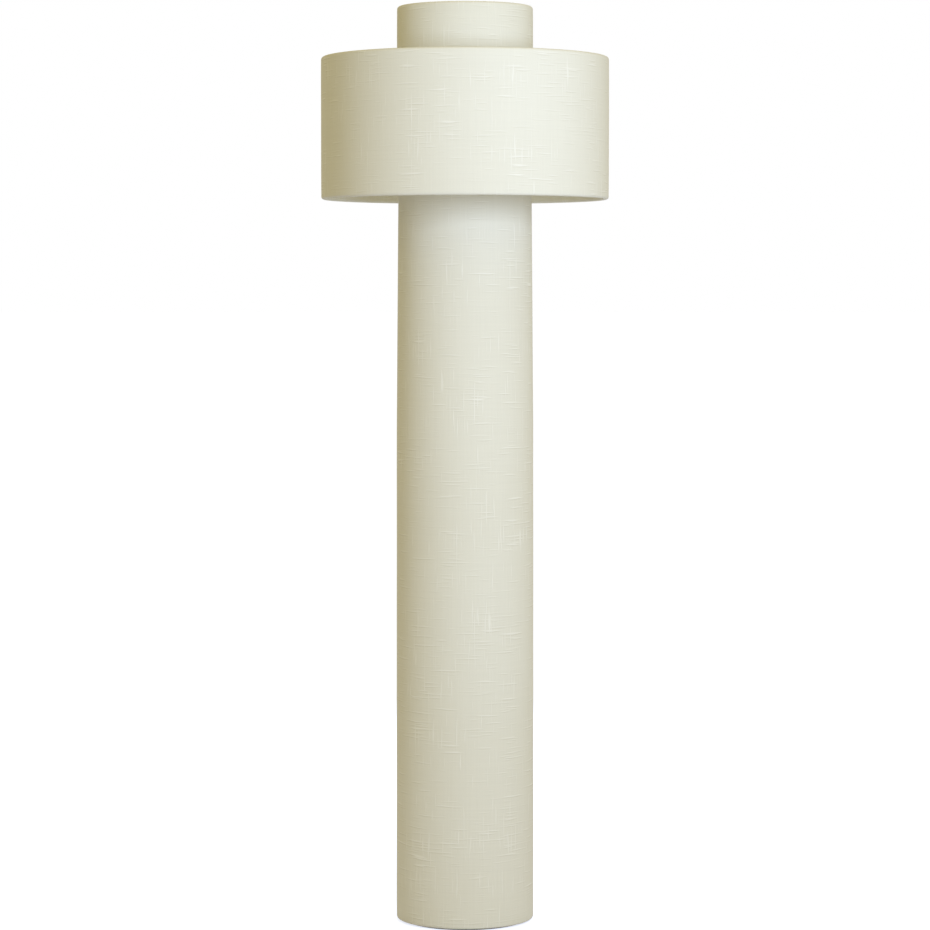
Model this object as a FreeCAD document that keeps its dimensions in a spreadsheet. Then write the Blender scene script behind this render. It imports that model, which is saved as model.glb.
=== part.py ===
# Column floor lamp: a tall linen column on a weighted base, with a wide drum shade and a
# short collar at its head. All lengths are in millimetres. The origin is on the floor in the
# middle of the base, +Z is up and the front of the lamp faces -Y.
import FreeCAD, Part
import os
import Sketcher

from FreeCAD import Vector

doc = FreeCAD.newDocument("column_floor_lamp")

# ---------------------------------------------------------------------------------------------
# Driving sizes: one cell each, with its meaning beside it
# ---------------------------------------------------------------------------------------------

DRIVING_SIZES = (
    ("linen", 0.8, "thickness of the linen cloth"),
    ("backing", 0.9, "thickness of the stiff sheet that the linen is laminated to"),
    ("ring_wire", 4.5, "diameter of the wire in every ring and arm"),
    ("ring_room", 0.3, "room round a ring inside its hem"),
    ("hem_turn", 14.0, "height of the hem that is turned in over a ring"),
    ("arm_count", 3, "arms of each wire frame"),
    ("arm_slit", 0.4, "room round an arm in the slits of the cloth and backing"),
    ("hub_radius", 22.0, "radius of the washer in the middle of each wire frame"),
    ("hub_thickness", 3.0, "thickness of that washer"),
    ("arm_weld", 6.0, "length of an arm that is welded onto the washer"),
    ("arm_bend_start", 6.0, "straight length between the washer and the arm's bend"),
    ("arm_bend_run", 40.0, "horizontal run of the arm's bend"),
    ("floor_gap", 3.0, "height of the column's lower hem above the floor"),
    ("column_height", 1325.0, "height of the linen column from hem to hem"),
    ("column_foot_radius", 120.5, "outer radius of the column at its foot"),
    ("column_waist_radius", 119.4, "outer radius of the column where it starts to draw in"),
    ("column_waist_height", 880.0, "height above the floor where the column starts to draw in"),
    ("column_head_radius", 115.8, "outer radius of the column at its head"),
    ("column_hub_drop", 20.0, "depth of the column's hub below its top ring"),
    ("column_bore_room", 0.3, "radial room of the column's hub round the threaded tube"),
    ("drum_radius", 250.0, "outer radius of the drum shade"),
    ("drum_height", 245.0, "height of the drum shade from hem to hem"),
    ("drum_hub_drop", 14.0, "depth of the drum's hub below its top ring"),
    ("drum_bore_room", 0.4, "radial room of the drum's hub round the harp's stud"),
    ("collar_radius", 117.5, "outer radius of the collar above the drum"),
    ("collar_height", 88.0, "height of the collar above the drum's top hem"),
    ("pad_thickness", 3.0, "thickness of the foam pad under the base"),
    ("pad_inset", 4.0, "inset of the pad from the edge of the base plate"),
    ("pad_bore", 34.0, "radius of the hole in the pad, for a socket wrench"),
    ("plate_thickness", 20.0, "thickness of the cast base plate"),
    ("plate_clearance", 1.0, "radial room between the base plate and the column's hem"),
    ("plate_edge", 4.0, "radius of the base plate's upper edge"),
    ("recess_radius", 18.0, "radius of the recess for the bolt's head"),
    ("recess_depth", 10.0, "depth of that recess"),
    ("bolt_radius", 5.0, "radius of the bolt's shank"),
    ("bolt_room", 0.4, "radial room of the bolt in the plate and the washer"),
    ("bolt_head_across", 17.0, "width of the bolt's head across its flats"),
    ("bolt_head_height", 6.4, "height of the bolt's head"),
    ("bolt_washer_radius", 12.0, "radius of the bolt's washer"),
    ("bolt_washer_thickness", 2.0, "thickness of the bolt's washer"),
    ("foot_flange_radius", 35.0, "radius of the pole foot's flange"),
    ("foot_flange_thickness", 5.0, "thickness of the pole foot's flange"),
    ("foot_hub_wall", 3.5, "wall of the pole foot's socket"),
    ("foot_web", 10.0, "thickness of the tapped web under the pole"),
    ("foot_socket_depth", 18.0, "depth of the pole in its foot"),
    ("foot_cove", 5.0, "radius of the cove between the flange and the socket"),
    ("pole_radius", 12.5, "outer radius of the pole"),
    ("pole_wall", 1.2, "wall of the pole"),
    ("pole_lower_length", 640.0, "length of the lower pole"),
    ("coupler_reach", 28.0, "length of the coupler inside each pole"),
    ("coupler_collar", 4.0, "height of the coupler's collar between the poles"),
    ("coupler_wall", 2.4, "wall of the coupler"),
    ("pole_fit", 0.1, "radial room of the coupler and the cap in the pole"),
    ("cap_radius", 14.0, "radius of the pole cap's head"),
    ("cap_head", 5.0, "height of the pole cap's head"),
    ("cap_spigot", 14.0, "length of the pole cap inside the pole"),
    ("outlet_rise", 16.0, "height of the cord's outlet above the pole's foot"),
    ("outlet_neck", 4.8, "radius of the outlet bushing's neck"),
    ("outlet_flange", 7.0, "radius of the outlet bushing's flange"),
    ("outlet_flange_thickness", 1.5, "thickness of the outlet bushing's flange"),
    ("cord_bore", 3.8, "radius of the bores that pass the mains lead"),
    ("grommet_height", 46.0, "height of the grommet in the back of the column"),
    ("grommet_neck", 6.5, "radius of the grommet's neck"),
    ("grommet_flange", 9.0, "radius of the grommet's flanges"),
    ("grommet_lip", 1.6, "thickness of the grommet's flanges"),
    ("grommet_room", 0.4, "room between the grommet's flat flanges and the round wall"),
    ("tube_radius", 5.0, "outer radius of the threaded lamp tube"),
    ("tube_bore", 3.6, "bore of the threaded lamp tube"),
    ("tube_below", 10.0, "length of the lamp tube in the pole's cap"),
    ("nut_across", 19.0, "width of the locknut across its flats"),
    ("nut_height", 5.0, "height of the locknut"),
    ("strip", 1.6, "thickness of the harp saddle's strip"),
    ("strip_width", 12.0, "width of the harp saddle's strip"),
    ("saddle_flat", 14.0, "half length of the saddle's flat middle"),
    ("saddle_reach", 27.0, "distance of the harp's legs from the lamp's axis"),
    ("saddle_height", 21.0, "height of the saddle's ears"),
    ("tongue_width", 2.4, "width of the tongues that hold the harp"),
    ("tongue_height", 8.0, "height of those tongues"),
    ("tongue_room", 0.15, "room round a tongue in the slot of the harp's leg"),
    ("harp_wire", 4.2, "diameter of the harp's wire"),
    ("harp_height", 182.0, "height from the saddle to the seat of the shade"),
    ("harp_half_width", 52.0, "half width of the harp"),
    ("harp_leg_spare", 4.0, "straight leg above the lifted ferrule"),
    ("harp_shoulder_rise", 50.0, "height of the bend that widens the harp"),
    ("harp_corner", 42.0, "radius of the harp's upper bends"),
    ("ferrule_length", 14.0, "length of a ferrule"),
    ("ferrule_wall", 1.7, "wall of a ferrule"),
    ("ferrule_lip", 0.6, "how far a ferrule's bead stands out"),
    ("ferrule_fit", 0.08, "radial room of a ferrule on the harp's leg"),
    ("ferrule_lift", 12.0, "how far a ferrule lifts to free the harp"),
    ("stud_radius", 3.1, "radius of the stud on the harp"),
    ("stud_length", 20.0, "length of the stud above the seat of the shade"),
    ("stud_flange_radius", 9.0, "radius of the seat of the shade"),
    ("stud_flange", 2.0, "thickness of that seat"),
    ("stud_block_radius", 6.0, "radius of the block that grips the harp's wire"),
    ("stud_block_below", 3.6, "depth of that block below the middle of the wire"),
    ("stud_block_above", 5.0, "height of that block above the middle of the wire"),
    ("socket_neck_radius", 8.0, "radius of the socket cap's threaded neck"),
    ("socket_neck_height", 6.0, "height of that neck"),
    ("socket_radius", 17.0, "outer radius of the socket cap"),
    ("socket_cone_height", 10.0, "height of the socket cap's cone"),
    ("socket_rim_height", 6.0, "height of the socket cap's rim"),
    ("socket_wall", 0.8, "wall of the socket's cap and shell"),
    ("shell_height", 44.0, "height of the socket's shell"),
    ("shell_bead", 0.9, "radius of the rolled bead at the shell's mouth"),
    ("sleeve_wall", 0.6, "wall of the insulating card sleeve"),
    ("socket_fit", 0.05, "radial room between the sleeves of the socket"),
    ("block_height", 20.0, "height of the switch block"),
    ("contact_height", 1.6, "height of the contact on the switch block"),
    ("contact_radius", 4.0, "radius of that contact"),
    ("screw_shell_wall", 0.5, "wall of the screw shell"),
    ("screw_shell_height", 21.0, "height of the screw shell"),
    ("bulb_cap_radius", 13.0, "radius of the bulb's screw cap"),
    ("bulb_cap_height", 25.0, "height of the bulb's screw cap"),
    ("bulb_cap_foot", 9.0, "radius of the bulb's cap at its lower end"),
    ("bulb_tip_height", 2.4, "height of the bulb's insulated tip"),
    ("bulb_tip_radius", 5.0, "radius of the bulb's contact"),
    ("bulb_radius", 30.0, "radius of the bulb's globe"),
    ("bulb_rise", 49.0, "height of the globe's middle above its neck"),
    ("bulb_neck_height", 8.0, "height of the globe's straight neck"),
    ("bulb_wall", 1.0, "wall of the bulb's globe"),
    ("spindle_radius", 2.4, "radius of the switch's spindle"),
    ("spindle_fit", 0.05, "radial room of the spindle in its bore"),
    ("spindle_height", 11.0, "height of the spindle above the foot of the switch block"),
    ("spindle_depth", 8.0, "distance of the spindle's inner end from the lamp's axis"),
    ("boss_radius", 4.4, "radius of the switch block's boss"),
    ("boss_reach", 19.0, "distance of the boss's end from the lamp's axis"),
    ("boss_room", 0.2, "room round the boss in the socket's shell"),
    ("knob_gap", 0.4, "gap between the boss and the knob"),
    ("knob_radius", 6.0, "radius of the switch knob"),
    ("knob_length", 13.0, "length of the switch knob"),
    ("knob_crown", 2.0, "radius of the knob's rounded end"),
    ("knob_flutes", 10, "flutes round the knob"),
    ("flute_radius", 1.1, "radius of a flute"),
    ("finial_foot_radius", 8.0, "radius of the finial's foot"),
    ("finial_foot_height", 3.0, "height of the finial's foot"),
    ("finial_neck_radius", 5.0, "radius of the finial's neck"),
    ("finial_neck_height", 7.0, "height of the finial's neck"),
    ("finial_ball_radius", 9.0, "radius of the finial's ball"),
    ("finial_fit", 0.08, "radial room of the finial on the stud"),
    ("finial_bore_room", 1.0, "length of the finial's bore beyond the stud"),
)

sheet = doc.addObject("Spreadsheet::Sheet", "Sizes")
for row, (alias, value, meaning) in enumerate(DRIVING_SIZES, start=1):
    sheet.set(f"A{row}", meaning)
    sheet.set(f"B{row}", str(value))
    sheet.setAlias(f"B{row}", alias)
doc.recompute()

# ---------------------------------------------------------------------------------------------
# Places that follow from those sizes, from the floor up and from the cloth inwards
# ---------------------------------------------------------------------------------------------

DERIVED_PLACES = (
    # A hem rolls over the backing and the ring inside it; shell is the wall of a shade.
    ("shell", "Sizes.linen + Sizes.backing"),
    ("hem", "(Sizes.backing + Sizes.ring_wire) / 2 + Sizes.ring_room + Sizes.linen"),
    ("ring_inset", "shell + Sizes.ring_wire / 2 + Sizes.ring_room"),
    ("slit_half_width", "Sizes.ring_wire / 2 + Sizes.arm_slit"),
    # The column: its two rings and its hub.
    ("column_top", "Sizes.floor_gap + Sizes.column_height"),
    ("column_low_ring", "Sizes.floor_gap + hem"),
    ("column_high_ring", "column_top - hem"),
    ("column_hub_middle", "column_high_ring - Sizes.column_hub_drop"),
    ("column_hub_foot", "column_hub_middle - Sizes.hub_thickness / 2"),
    ("column_hub_top", "column_hub_middle + Sizes.hub_thickness / 2"),
    # The base and the pole inside the column.
    ("plate_radius", "Sizes.column_foot_radius - 2 * hem - Sizes.plate_clearance"),
    ("plate_foot", "Sizes.pad_thickness"),
    ("plate_top", "plate_foot + Sizes.plate_thickness"),
    ("recess_top", "plate_foot + Sizes.recess_depth"),
    ("bolt_room_radius", "Sizes.bolt_radius + Sizes.bolt_room"),
    ("washer_foot", "recess_top - Sizes.bolt_washer_thickness"),
    ("pole_foot_seat", "plate_top + Sizes.foot_web"),
    ("foot_top", "pole_foot_seat + Sizes.foot_socket_depth"),
    ("foot_socket_radius", "Sizes.pole_radius + Sizes.pole_fit"),
    ("foot_hub_radius", "foot_socket_radius + Sizes.foot_hub_wall"),
    ("outlet_height", "foot_top + Sizes.outlet_rise"),
    ("pole_bore", "Sizes.pole_radius - Sizes.pole_wall"),
    ("spigot_radius", "pole_bore - Sizes.pole_fit"),
    ("pole_lower_top", "pole_foot_seat + Sizes.pole_lower_length"),
    ("pole_upper_foot", "pole_lower_top + Sizes.coupler_collar"),
    ("pole_upper_top", "column_hub_foot - Sizes.cap_head"),
    # The light unit stands on the column's hub.
    ("saddle_foot", "column_hub_top + Sizes.nut_height"),
    ("socket_foot", "saddle_foot + Sizes.strip"),
    ("ear_top", "saddle_foot + Sizes.saddle_height"),
    ("tube_bore_room", "Sizes.tube_radius + Sizes.column_bore_room"),
    ("ear_outside", "Sizes.saddle_reach + Sizes.strip / 2"),
    ("ear_inside", "Sizes.saddle_reach - Sizes.strip / 2"),
    ("shade_seat", "saddle_foot + Sizes.harp_height"),
    ("harp_crown", "shade_seat - Sizes.stud_flange - Sizes.stud_block_above"),
    ("harp_bend_foot", "ear_top + Sizes.ferrule_length + Sizes.ferrule_lift + Sizes.harp_leg_spare"),
    ("harp_bend_top", "harp_bend_foot + Sizes.harp_shoulder_rise"),
    ("harp_bend_shift", "Sizes.harp_half_width - Sizes.saddle_reach"),
    ("harp_bend_radius", "(Sizes.harp_shoulder_rise ^ 2 + harp_bend_shift ^ 2) / (4 * harp_bend_shift)"),
    ("stud_top", "shade_seat + Sizes.stud_length"),
    # The socket, from its neck to the bulb in it.
    ("cone_foot", "socket_foot + Sizes.socket_neck_height"),
    ("cone_top", "cone_foot + Sizes.socket_cone_height"),
    ("rim_top", "cone_top + Sizes.socket_rim_height"),
    ("shell_radius", "Sizes.socket_radius - Sizes.socket_wall - Sizes.socket_fit"),
    ("shell_foot", "cone_top + Sizes.socket_wall"),
    ("shell_top", "shell_foot + Sizes.shell_height"),
    ("sleeve_radius", "shell_radius - Sizes.socket_wall - Sizes.socket_fit"),
    ("block_radius", "sleeve_radius - Sizes.sleeve_wall - Sizes.socket_fit"),
    ("block_top", "shell_foot + Sizes.block_height"),
    ("spindle_axis", "shell_foot + Sizes.spindle_height"),
    ("contact_top", "block_top + Sizes.contact_height"),
    ("cap_foot", "contact_top + Sizes.bulb_tip_height"),
    ("cap_top", "cap_foot + Sizes.bulb_cap_height"),
    ("globe_middle", "cap_top + Sizes.bulb_rise"),
    ("screw_shell_radius", "Sizes.bulb_cap_radius + Sizes.socket_fit + Sizes.screw_shell_wall"),
    # The hat: the drum and the collar hang on the harp's stud by the drum's hub.
    ("drum_hub_top", "shade_seat + Sizes.hub_thickness"),
    ("drum_high_ring", "shade_seat + Sizes.hub_thickness / 2 + Sizes.drum_hub_drop"),
    ("drum_top", "drum_high_ring + hem"),
    ("drum_foot", "drum_top - Sizes.drum_height"),
    ("drum_low_ring", "drum_foot + hem"),
    ("collar_foot", "drum_high_ring - hem"),
    ("collar_top", "drum_top + Sizes.collar_height"),
    ("collar_high_ring", "collar_top - hem"),
    ("drum_ring_radius", "Sizes.drum_radius - ring_inset"),
    ("collar_ring_radius", "Sizes.collar_radius - ring_inset"),
    ("column_low_ring_radius", "Sizes.column_foot_radius - ring_inset"),
    ("column_high_ring_radius", "Sizes.column_head_radius - ring_inset"),
)

places = doc.addObject("App::VarSet", "Places")
for name, expression in DERIVED_PLACES:
    places.addProperty("App::PropertyFloat", name, "Places")
    places.setExpression(name, expression)
doc.recompute()

# ---------------------------------------------------------------------------------------------
# Ways of making a piece
# ---------------------------------------------------------------------------------------------

FRONT = "XZ_Plane"
SIDE = "YZ_Plane"
FLAT = "XY_Plane"
LENGTHWISE_BACK = FreeCAD.Rotation(Vector(1, 0, 0), -90)
LENGTHWISE_FRONT = FreeCAD.Rotation(Vector(1, 0, 0), 90)
SAME_PLACE = 1e-7


def number(expression):
    """The present value of an expression of the sheet's names."""
    return float(sheet.evalExpression(expression))


def origin_part(body, role):
    return next(part for part in body.Origin.OriginFeatures if part.Role == role)


def new_body(label):
    body = doc.addObject("PartDesign::Body", label)
    body.Label = label
    return body


def new_sketch(body, role, name, height="0"):
    """A sketch on one of the body's own planes, moved along that plane's normal."""
    drawing = body.newObject("Sketcher::SketchObject", f"{body.Name}_{name}")
    drawing.AttachmentSupport = (origin_part(body, role), "")
    drawing.MapMode = "FlatFace"
    drawing.setExpression("AttachmentOffset.Base.z", height)
    return drawing


def hold(drawing, kind, edge, end, expression):
    """Ties one coordinate of a point to an expression."""
    value = number(expression)
    index = drawing.addConstraint(Sketcher.Constraint(kind, -1, 1, edge, end, value))
    drawing.setExpression(f"Constraints[{index}]", expression)


def draw_circle(drawing, across, up, radius):
    centre = Vector(number(across), number(up), 0)
    edge = drawing.addGeometry(Part.Circle(centre, Vector(0, 0, 1), number(radius)), False)
    hold(drawing, "DistanceX", edge, 3, across)
    hold(drawing, "DistanceY", edge, 3, up)
    index = drawing.addConstraint(Sketcher.Constraint("Radius", edge, number(radius)))
    drawing.setExpression(f"Constraints[{index}]", radius)


def arc_edge(start, end, centre, turn):
    """An arc of less than a full turn: turn is 1 for anticlockwise and -1 for clockwise."""
    radius = (start - centre).Length
    first = start if turn > 0 else end
    last = end if turn > 0 else start
    from_angle = Vector(1, 0, 0).getAngle(first - centre) * (1 if first.y >= centre.y else -1)
    to_angle = Vector(1, 0, 0).getAngle(last - centre) * (1 if last.y >= centre.y else -1)
    circle = Part.Circle(centre, Vector(0, 0, 1), radius)
    return Part.ArcOfCircle(circle, from_angle, to_angle)


def draw(drawing, corners, closed=True):
    """Draws straight runs and arcs through the corners. A corner is (across, up), reached by a
    straight run, or (across, up, centre across, centre up, turn), reached by an arc."""
    first = Vector(number(corners[0][0]), number(corners[0][1]), 0)
    last = Vector(number(corners[-1][0]), number(corners[-1][1]), 0)
    route = list(corners[1:])
    if closed and not last.isEqual(first, SAME_PLACE):
        route.append(corners[0])
    here = first
    before = None
    for corner in route:
        there = Vector(number(corner[0]), number(corner[1]), 0)
        if len(corner) == 2:
            edge = drawing.addGeometry(Part.LineSegment(here, there), False)
            start, end = 1, 2
        else:
            centre = Vector(number(corner[2]), number(corner[3]), 0)
            edge = drawing.addGeometry(arc_edge(here, there, centre, corner[4]), False)
            start, end = (1, 2) if corner[4] > 0 else (2, 1)
            hold(drawing, "DistanceX", edge, 3, corner[2])
            hold(drawing, "DistanceY", edge, 3, corner[3])
        if before is None:
            hold(drawing, "DistanceX", edge, start, corners[0][0])
            hold(drawing, "DistanceY", edge, start, corners[0][1])
            opening = (edge, start)
        else:
            drawing.addConstraint(Sketcher.Constraint("Coincident", *before, edge, start))
        if len(corner) > 2:
            # The arc's centre and start give its radius, so one coordinate holds its end.
            beside = abs(there.x - centre.x) > abs(there.y - centre.y)
            kind, value = ("DistanceY", corner[1]) if beside else ("DistanceX", corner[0])
            hold(drawing, kind, edge, end, value)
        elif there.isEqual(first, SAME_PLACE):
            drawing.addConstraint(Sketcher.Constraint("Coincident", edge, end, *opening))
        else:
            hold(drawing, "DistanceX", edge, end, corner[0])
            hold(drawing, "DistanceY", edge, end, corner[1])
        before = (edge, end)
        here = there


def spin(body, drawing):
    """Turns a sketch round its own upright axis."""
    turned = body.newObject("PartDesign::Revolution", f"{drawing.Name}_turned")
    turned.Profile = drawing
    turned.ReferenceAxis = (drawing, ["V_Axis"])
    turned.Angle = 360


def turned_piece(label, corners):
    body = new_body(label)
    outline = new_sketch(body, FRONT, "outline")
    draw(outline, corners)
    spin(body, outline)
    return body


def add_ring(body, name, radius, height):
    """Adds a ring of wire."""
    section = new_sketch(body, FRONT, name)
    draw_circle(section, radius, height, "Sizes.ring_wire / 2")
    spin(body, section)


def tube_outline(outer, inner, low, high):
    return ((inner, low), (outer, low), (outer, high), (inner, high))


def pad(body, drawing, length, both_ways=False, backwards=False):
    added = body.newObject("PartDesign::Pad", f"{drawing.Name}_pad")
    added.Profile = drawing
    added.Midplane = both_ways
    added.Reversed = backwards
    added.setExpression("Length", length)
    return added


def pocket(body, drawing, length, both_ways=False, backwards=False):
    """Cuts the sketch away, and makes sure that something was cut."""
    doc.recompute()
    before = body.Shape.Volume
    cut = body.newObject("PartDesign::Pocket", f"{drawing.Name}_cut")
    cut.Profile = drawing
    cut.Midplane = both_ways
    cut.Reversed = backwards
    cut.setExpression("Length", length)
    doc.recompute()
    if not body.Shape.Volume < before:
        raise RuntimeError(f"{cut.Name} cuts nothing")
    return cut


def repeat_round(body, feature, count, role="Z_Axis"):
    """Repeats a feature evenly round one of the body's own axes."""
    pattern = body.newObject("PartDesign::PolarPattern", f"{feature.Name}_round")
    pattern.Originals = [feature]
    pattern.Axis = (origin_part(body, role), [""])
    pattern.Angle = 360
    pattern.setExpression("Occurrences", count)
    body.Tip = pattern
    return pattern


# ---------------------------------------------------------------------------------------------
# Base: a foam pad, a cast plate, and the turned foot that carries the pole
# ---------------------------------------------------------------------------------------------


def make_floor_pad():
    radius = "Places.plate_radius - Sizes.pad_inset"
    turned_piece("floor_pad", tube_outline(radius, "Sizes.pad_bore", "0", "Places.plate_foot"))


def make_base_plate():
    rim = "Places.plate_radius"
    edge = "Places.plate_radius - Sizes.plate_edge"
    shoulder = "Places.plate_top - Sizes.plate_edge"
    turned_piece("base_plate", (
        ("Sizes.recess_radius", "Places.plate_foot"),
        (rim, "Places.plate_foot"),
        (rim, shoulder),
        (edge, "Places.plate_top", edge, shoulder, 1),
        ("Places.bolt_room_radius", "Places.plate_top"),
        ("Places.bolt_room_radius", "Places.recess_top"),
        ("Sizes.recess_radius", "Places.recess_top"),
    ))


def make_base_bolt():
    head = doc.addObject("Part::Prism", "base_bolt_head")
    head.Polygon = 6
    head.setExpression("Circumradius", "Sizes.bolt_head_across / sqrt(3)")
    head.setExpression("Height", "Sizes.bolt_head_height")
    head.setExpression("Placement.Base.z", "Places.washer_foot - Sizes.bolt_head_height")
    shank = doc.addObject("Part::Cylinder", "base_bolt_shank")
    shank.setExpression("Radius", "Sizes.bolt_radius")
    shank.setExpression("Height", "Places.pole_foot_seat - Places.washer_foot")
    shank.setExpression("Placement.Base.z", "Places.washer_foot")
    bolt = doc.addObject("Part::Fuse", "base_bolt")
    bolt.Base = head
    bolt.Tool = shank
    bolt.Label = "base_bolt"


def make_base_washer():
    turned_piece("base_washer", tube_outline(
        "Sizes.bolt_washer_radius", "Places.bolt_room_radius",
        "Places.washer_foot", "Places.recess_top"))


def make_pole_foot():
    flange_top = "Places.plate_top + Sizes.foot_flange_thickness"
    cove_top = "Places.plate_top + Sizes.foot_flange_thickness + Sizes.foot_cove"
    cove_edge = "Places.foot_hub_radius + Sizes.foot_cove"
    turned_piece("pole_foot", (
        ("Sizes.bolt_radius", "Places.plate_top"),
        ("Sizes.foot_flange_radius", "Places.plate_top"),
        ("Sizes.foot_flange_radius", flange_top),
        (cove_edge, flange_top),
        ("Places.foot_hub_radius", cove_top, cove_edge, cove_top, -1),
        ("Places.foot_hub_radius", "Places.foot_top"),
        ("Places.foot_socket_radius", "Places.foot_top"),
        ("Places.foot_socket_radius", "Places.pole_foot_seat"),
        ("Sizes.bolt_radius", "Places.pole_foot_seat"),
    ))


# ---------------------------------------------------------------------------------------------
# Pole: two steel tubes on a coupler, with a side outlet for the lead and a turned cap
# ---------------------------------------------------------------------------------------------


def make_pole_lower():
    pole = turned_piece("pole_lower", tube_outline(
        "Sizes.pole_radius", "Places.pole_bore", "Places.pole_foot_seat", "Places.pole_lower_top"))
    outlet = new_sketch(pole, FRONT, "outlet")
    draw_circle(outlet, "0", "Places.outlet_height", "Sizes.outlet_neck")
    pocket(pole, outlet, "2 * Sizes.pole_radius")


def make_pole_coupler():
    bore = "Places.spigot_radius - Sizes.coupler_wall"
    turned_piece("pole_coupler", (
        (bore, "Places.pole_lower_top - Sizes.coupler_reach"),
        ("Places.spigot_radius", "Places.pole_lower_top - Sizes.coupler_reach"),
        ("Places.spigot_radius", "Places.pole_lower_top"),
        ("Sizes.pole_radius", "Places.pole_lower_top"),
        ("Sizes.pole_radius", "Places.pole_upper_foot"),
        ("Places.spigot_radius", "Places.pole_upper_foot"),
        ("Places.spigot_radius", "Places.pole_upper_foot + Sizes.coupler_reach"),
        (bore, "Places.pole_upper_foot + Sizes.coupler_reach"),
    ))


def make_pole_upper():
    turned_piece("pole_upper", tube_outline(
        "Sizes.pole_radius", "Places.pole_bore", "Places.pole_upper_foot", "Places.pole_upper_top"))


def make_pole_cap():
    spigot_foot = "Places.pole_upper_top - Sizes.cap_spigot"
    turned_piece("pole_cap", (
        ("Sizes.tube_radius", spigot_foot),
        ("Places.spigot_radius", spigot_foot),
        ("Places.spigot_radius", "Places.pole_upper_top"),
        ("Sizes.cap_radius", "Places.pole_upper_top"),
        ("Sizes.cap_radius", "Places.column_hub_foot"),
        ("Sizes.tube_radius", "Places.column_hub_foot"),
    ))


def make_outlet_bushing():
    """A flanged bushing in the pole's side outlet, turned about the lead's own axis."""
    bushing = turned_piece("outlet_bushing", (
        ("Sizes.cord_bore", "Places.pole_bore - Sizes.pole_wall"),
        ("Sizes.outlet_neck", "Places.pole_bore - Sizes.pole_wall"),
        ("Sizes.outlet_neck", "Sizes.pole_radius"),
        ("Sizes.outlet_flange", "Sizes.pole_radius"),
        ("Sizes.outlet_flange", "Sizes.pole_radius + Sizes.outlet_flange_thickness"),
        ("Sizes.cord_bore", "Sizes.pole_radius + Sizes.outlet_flange_thickness"),
    ))
    bushing.Placement = FreeCAD.Placement(Vector(0, 0, 0), LENGTHWISE_BACK)
    bushing.setExpression("Placement.Base.z", "Places.outlet_height")


# ---------------------------------------------------------------------------------------------
# Shades: linen on a stiff backing, rolled over a wire ring at each edge
# ---------------------------------------------------------------------------------------------


def linen_outline(foot_radius, head_radius, foot, head, waist=()):
    """The section of a linen wall: up the outside, and over a hem at each edge. waist holds the
    radius and height of each place where the wall changes its slope, from the foot up."""
    low = f"{foot} + Places.hem"
    high = f"{head} - Places.hem"
    foot_middle = f"{foot_radius} - Places.hem"
    head_middle = f"{head_radius} - Places.hem"
    foot_inside = f"{foot_radius} - 2 * Places.hem"
    head_inside = f"{head_radius} - 2 * Places.hem"
    turn_low = f"{foot} + Sizes.hem_turn"
    turn_high = f"{head} - Sizes.hem_turn"
    return (
        (foot_radius, low),
        *waist,
        (head_radius, high),
        (head_inside, high, head_middle, high, 1),
        (head_inside, turn_high),
        (f"{head_inside} + Sizes.linen", turn_high),
        (f"{head_inside} + Sizes.linen", high),
        (f"{head_radius} - Sizes.linen", high, head_middle, high, -1),
        *((f"{radius} - Sizes.linen", height) for radius, height in reversed(waist)),
        (f"{foot_radius} - Sizes.linen", low),
        (f"{foot_inside} + Sizes.linen", low, foot_middle, low, -1),
        (f"{foot_inside} + Sizes.linen", turn_low),
        (foot_inside, turn_low),
        (foot_inside, low),
        (foot_radius, low, foot_middle, low, 1),
    )


def backing_outline(foot_radius, head_radius, foot, head, waist=()):
    """The section of the backing, laminated to the inside of the linen."""
    return (
        (f"{foot_radius} - Places.shell", foot),
        (f"{foot_radius} - Sizes.linen", foot),
        *((f"{radius} - Sizes.linen", height) for radius, height in waist),
        (f"{head_radius} - Sizes.linen", head),
        (f"{head_radius} - Places.shell", head),
        *((f"{radius} - Places.shell", height) for radius, height in reversed(waist)),
    )


def cut_arm_slits(body, ring_height, reach, foot):
    """Cuts one slit for each arm of a wire frame, from the axis out to reach and from foot up to
    just over the ring."""
    top = f"{ring_height} + Places.slit_half_width"
    slit = new_sketch(body, FRONT, "slit")
    draw(slit, (
        ("-Places.slit_half_width", foot),
        ("Places.slit_half_width", foot),
        ("Places.slit_half_width", top),
        ("-Places.slit_half_width", top),
    ))
    repeat_round(body, pocket(body, slit, reach), "Sizes.arm_count")


def cut_grommet_hole(body):
    hole = new_sketch(body, FRONT, "grommet_hole")
    draw_circle(hole, "0", "Sizes.grommet_height", "Sizes.grommet_neck")
    pocket(body, hole, "2 * Sizes.column_foot_radius")


def make_ring(label, radius, height):
    add_ring(new_body(label), "section", radius, height)


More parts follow.
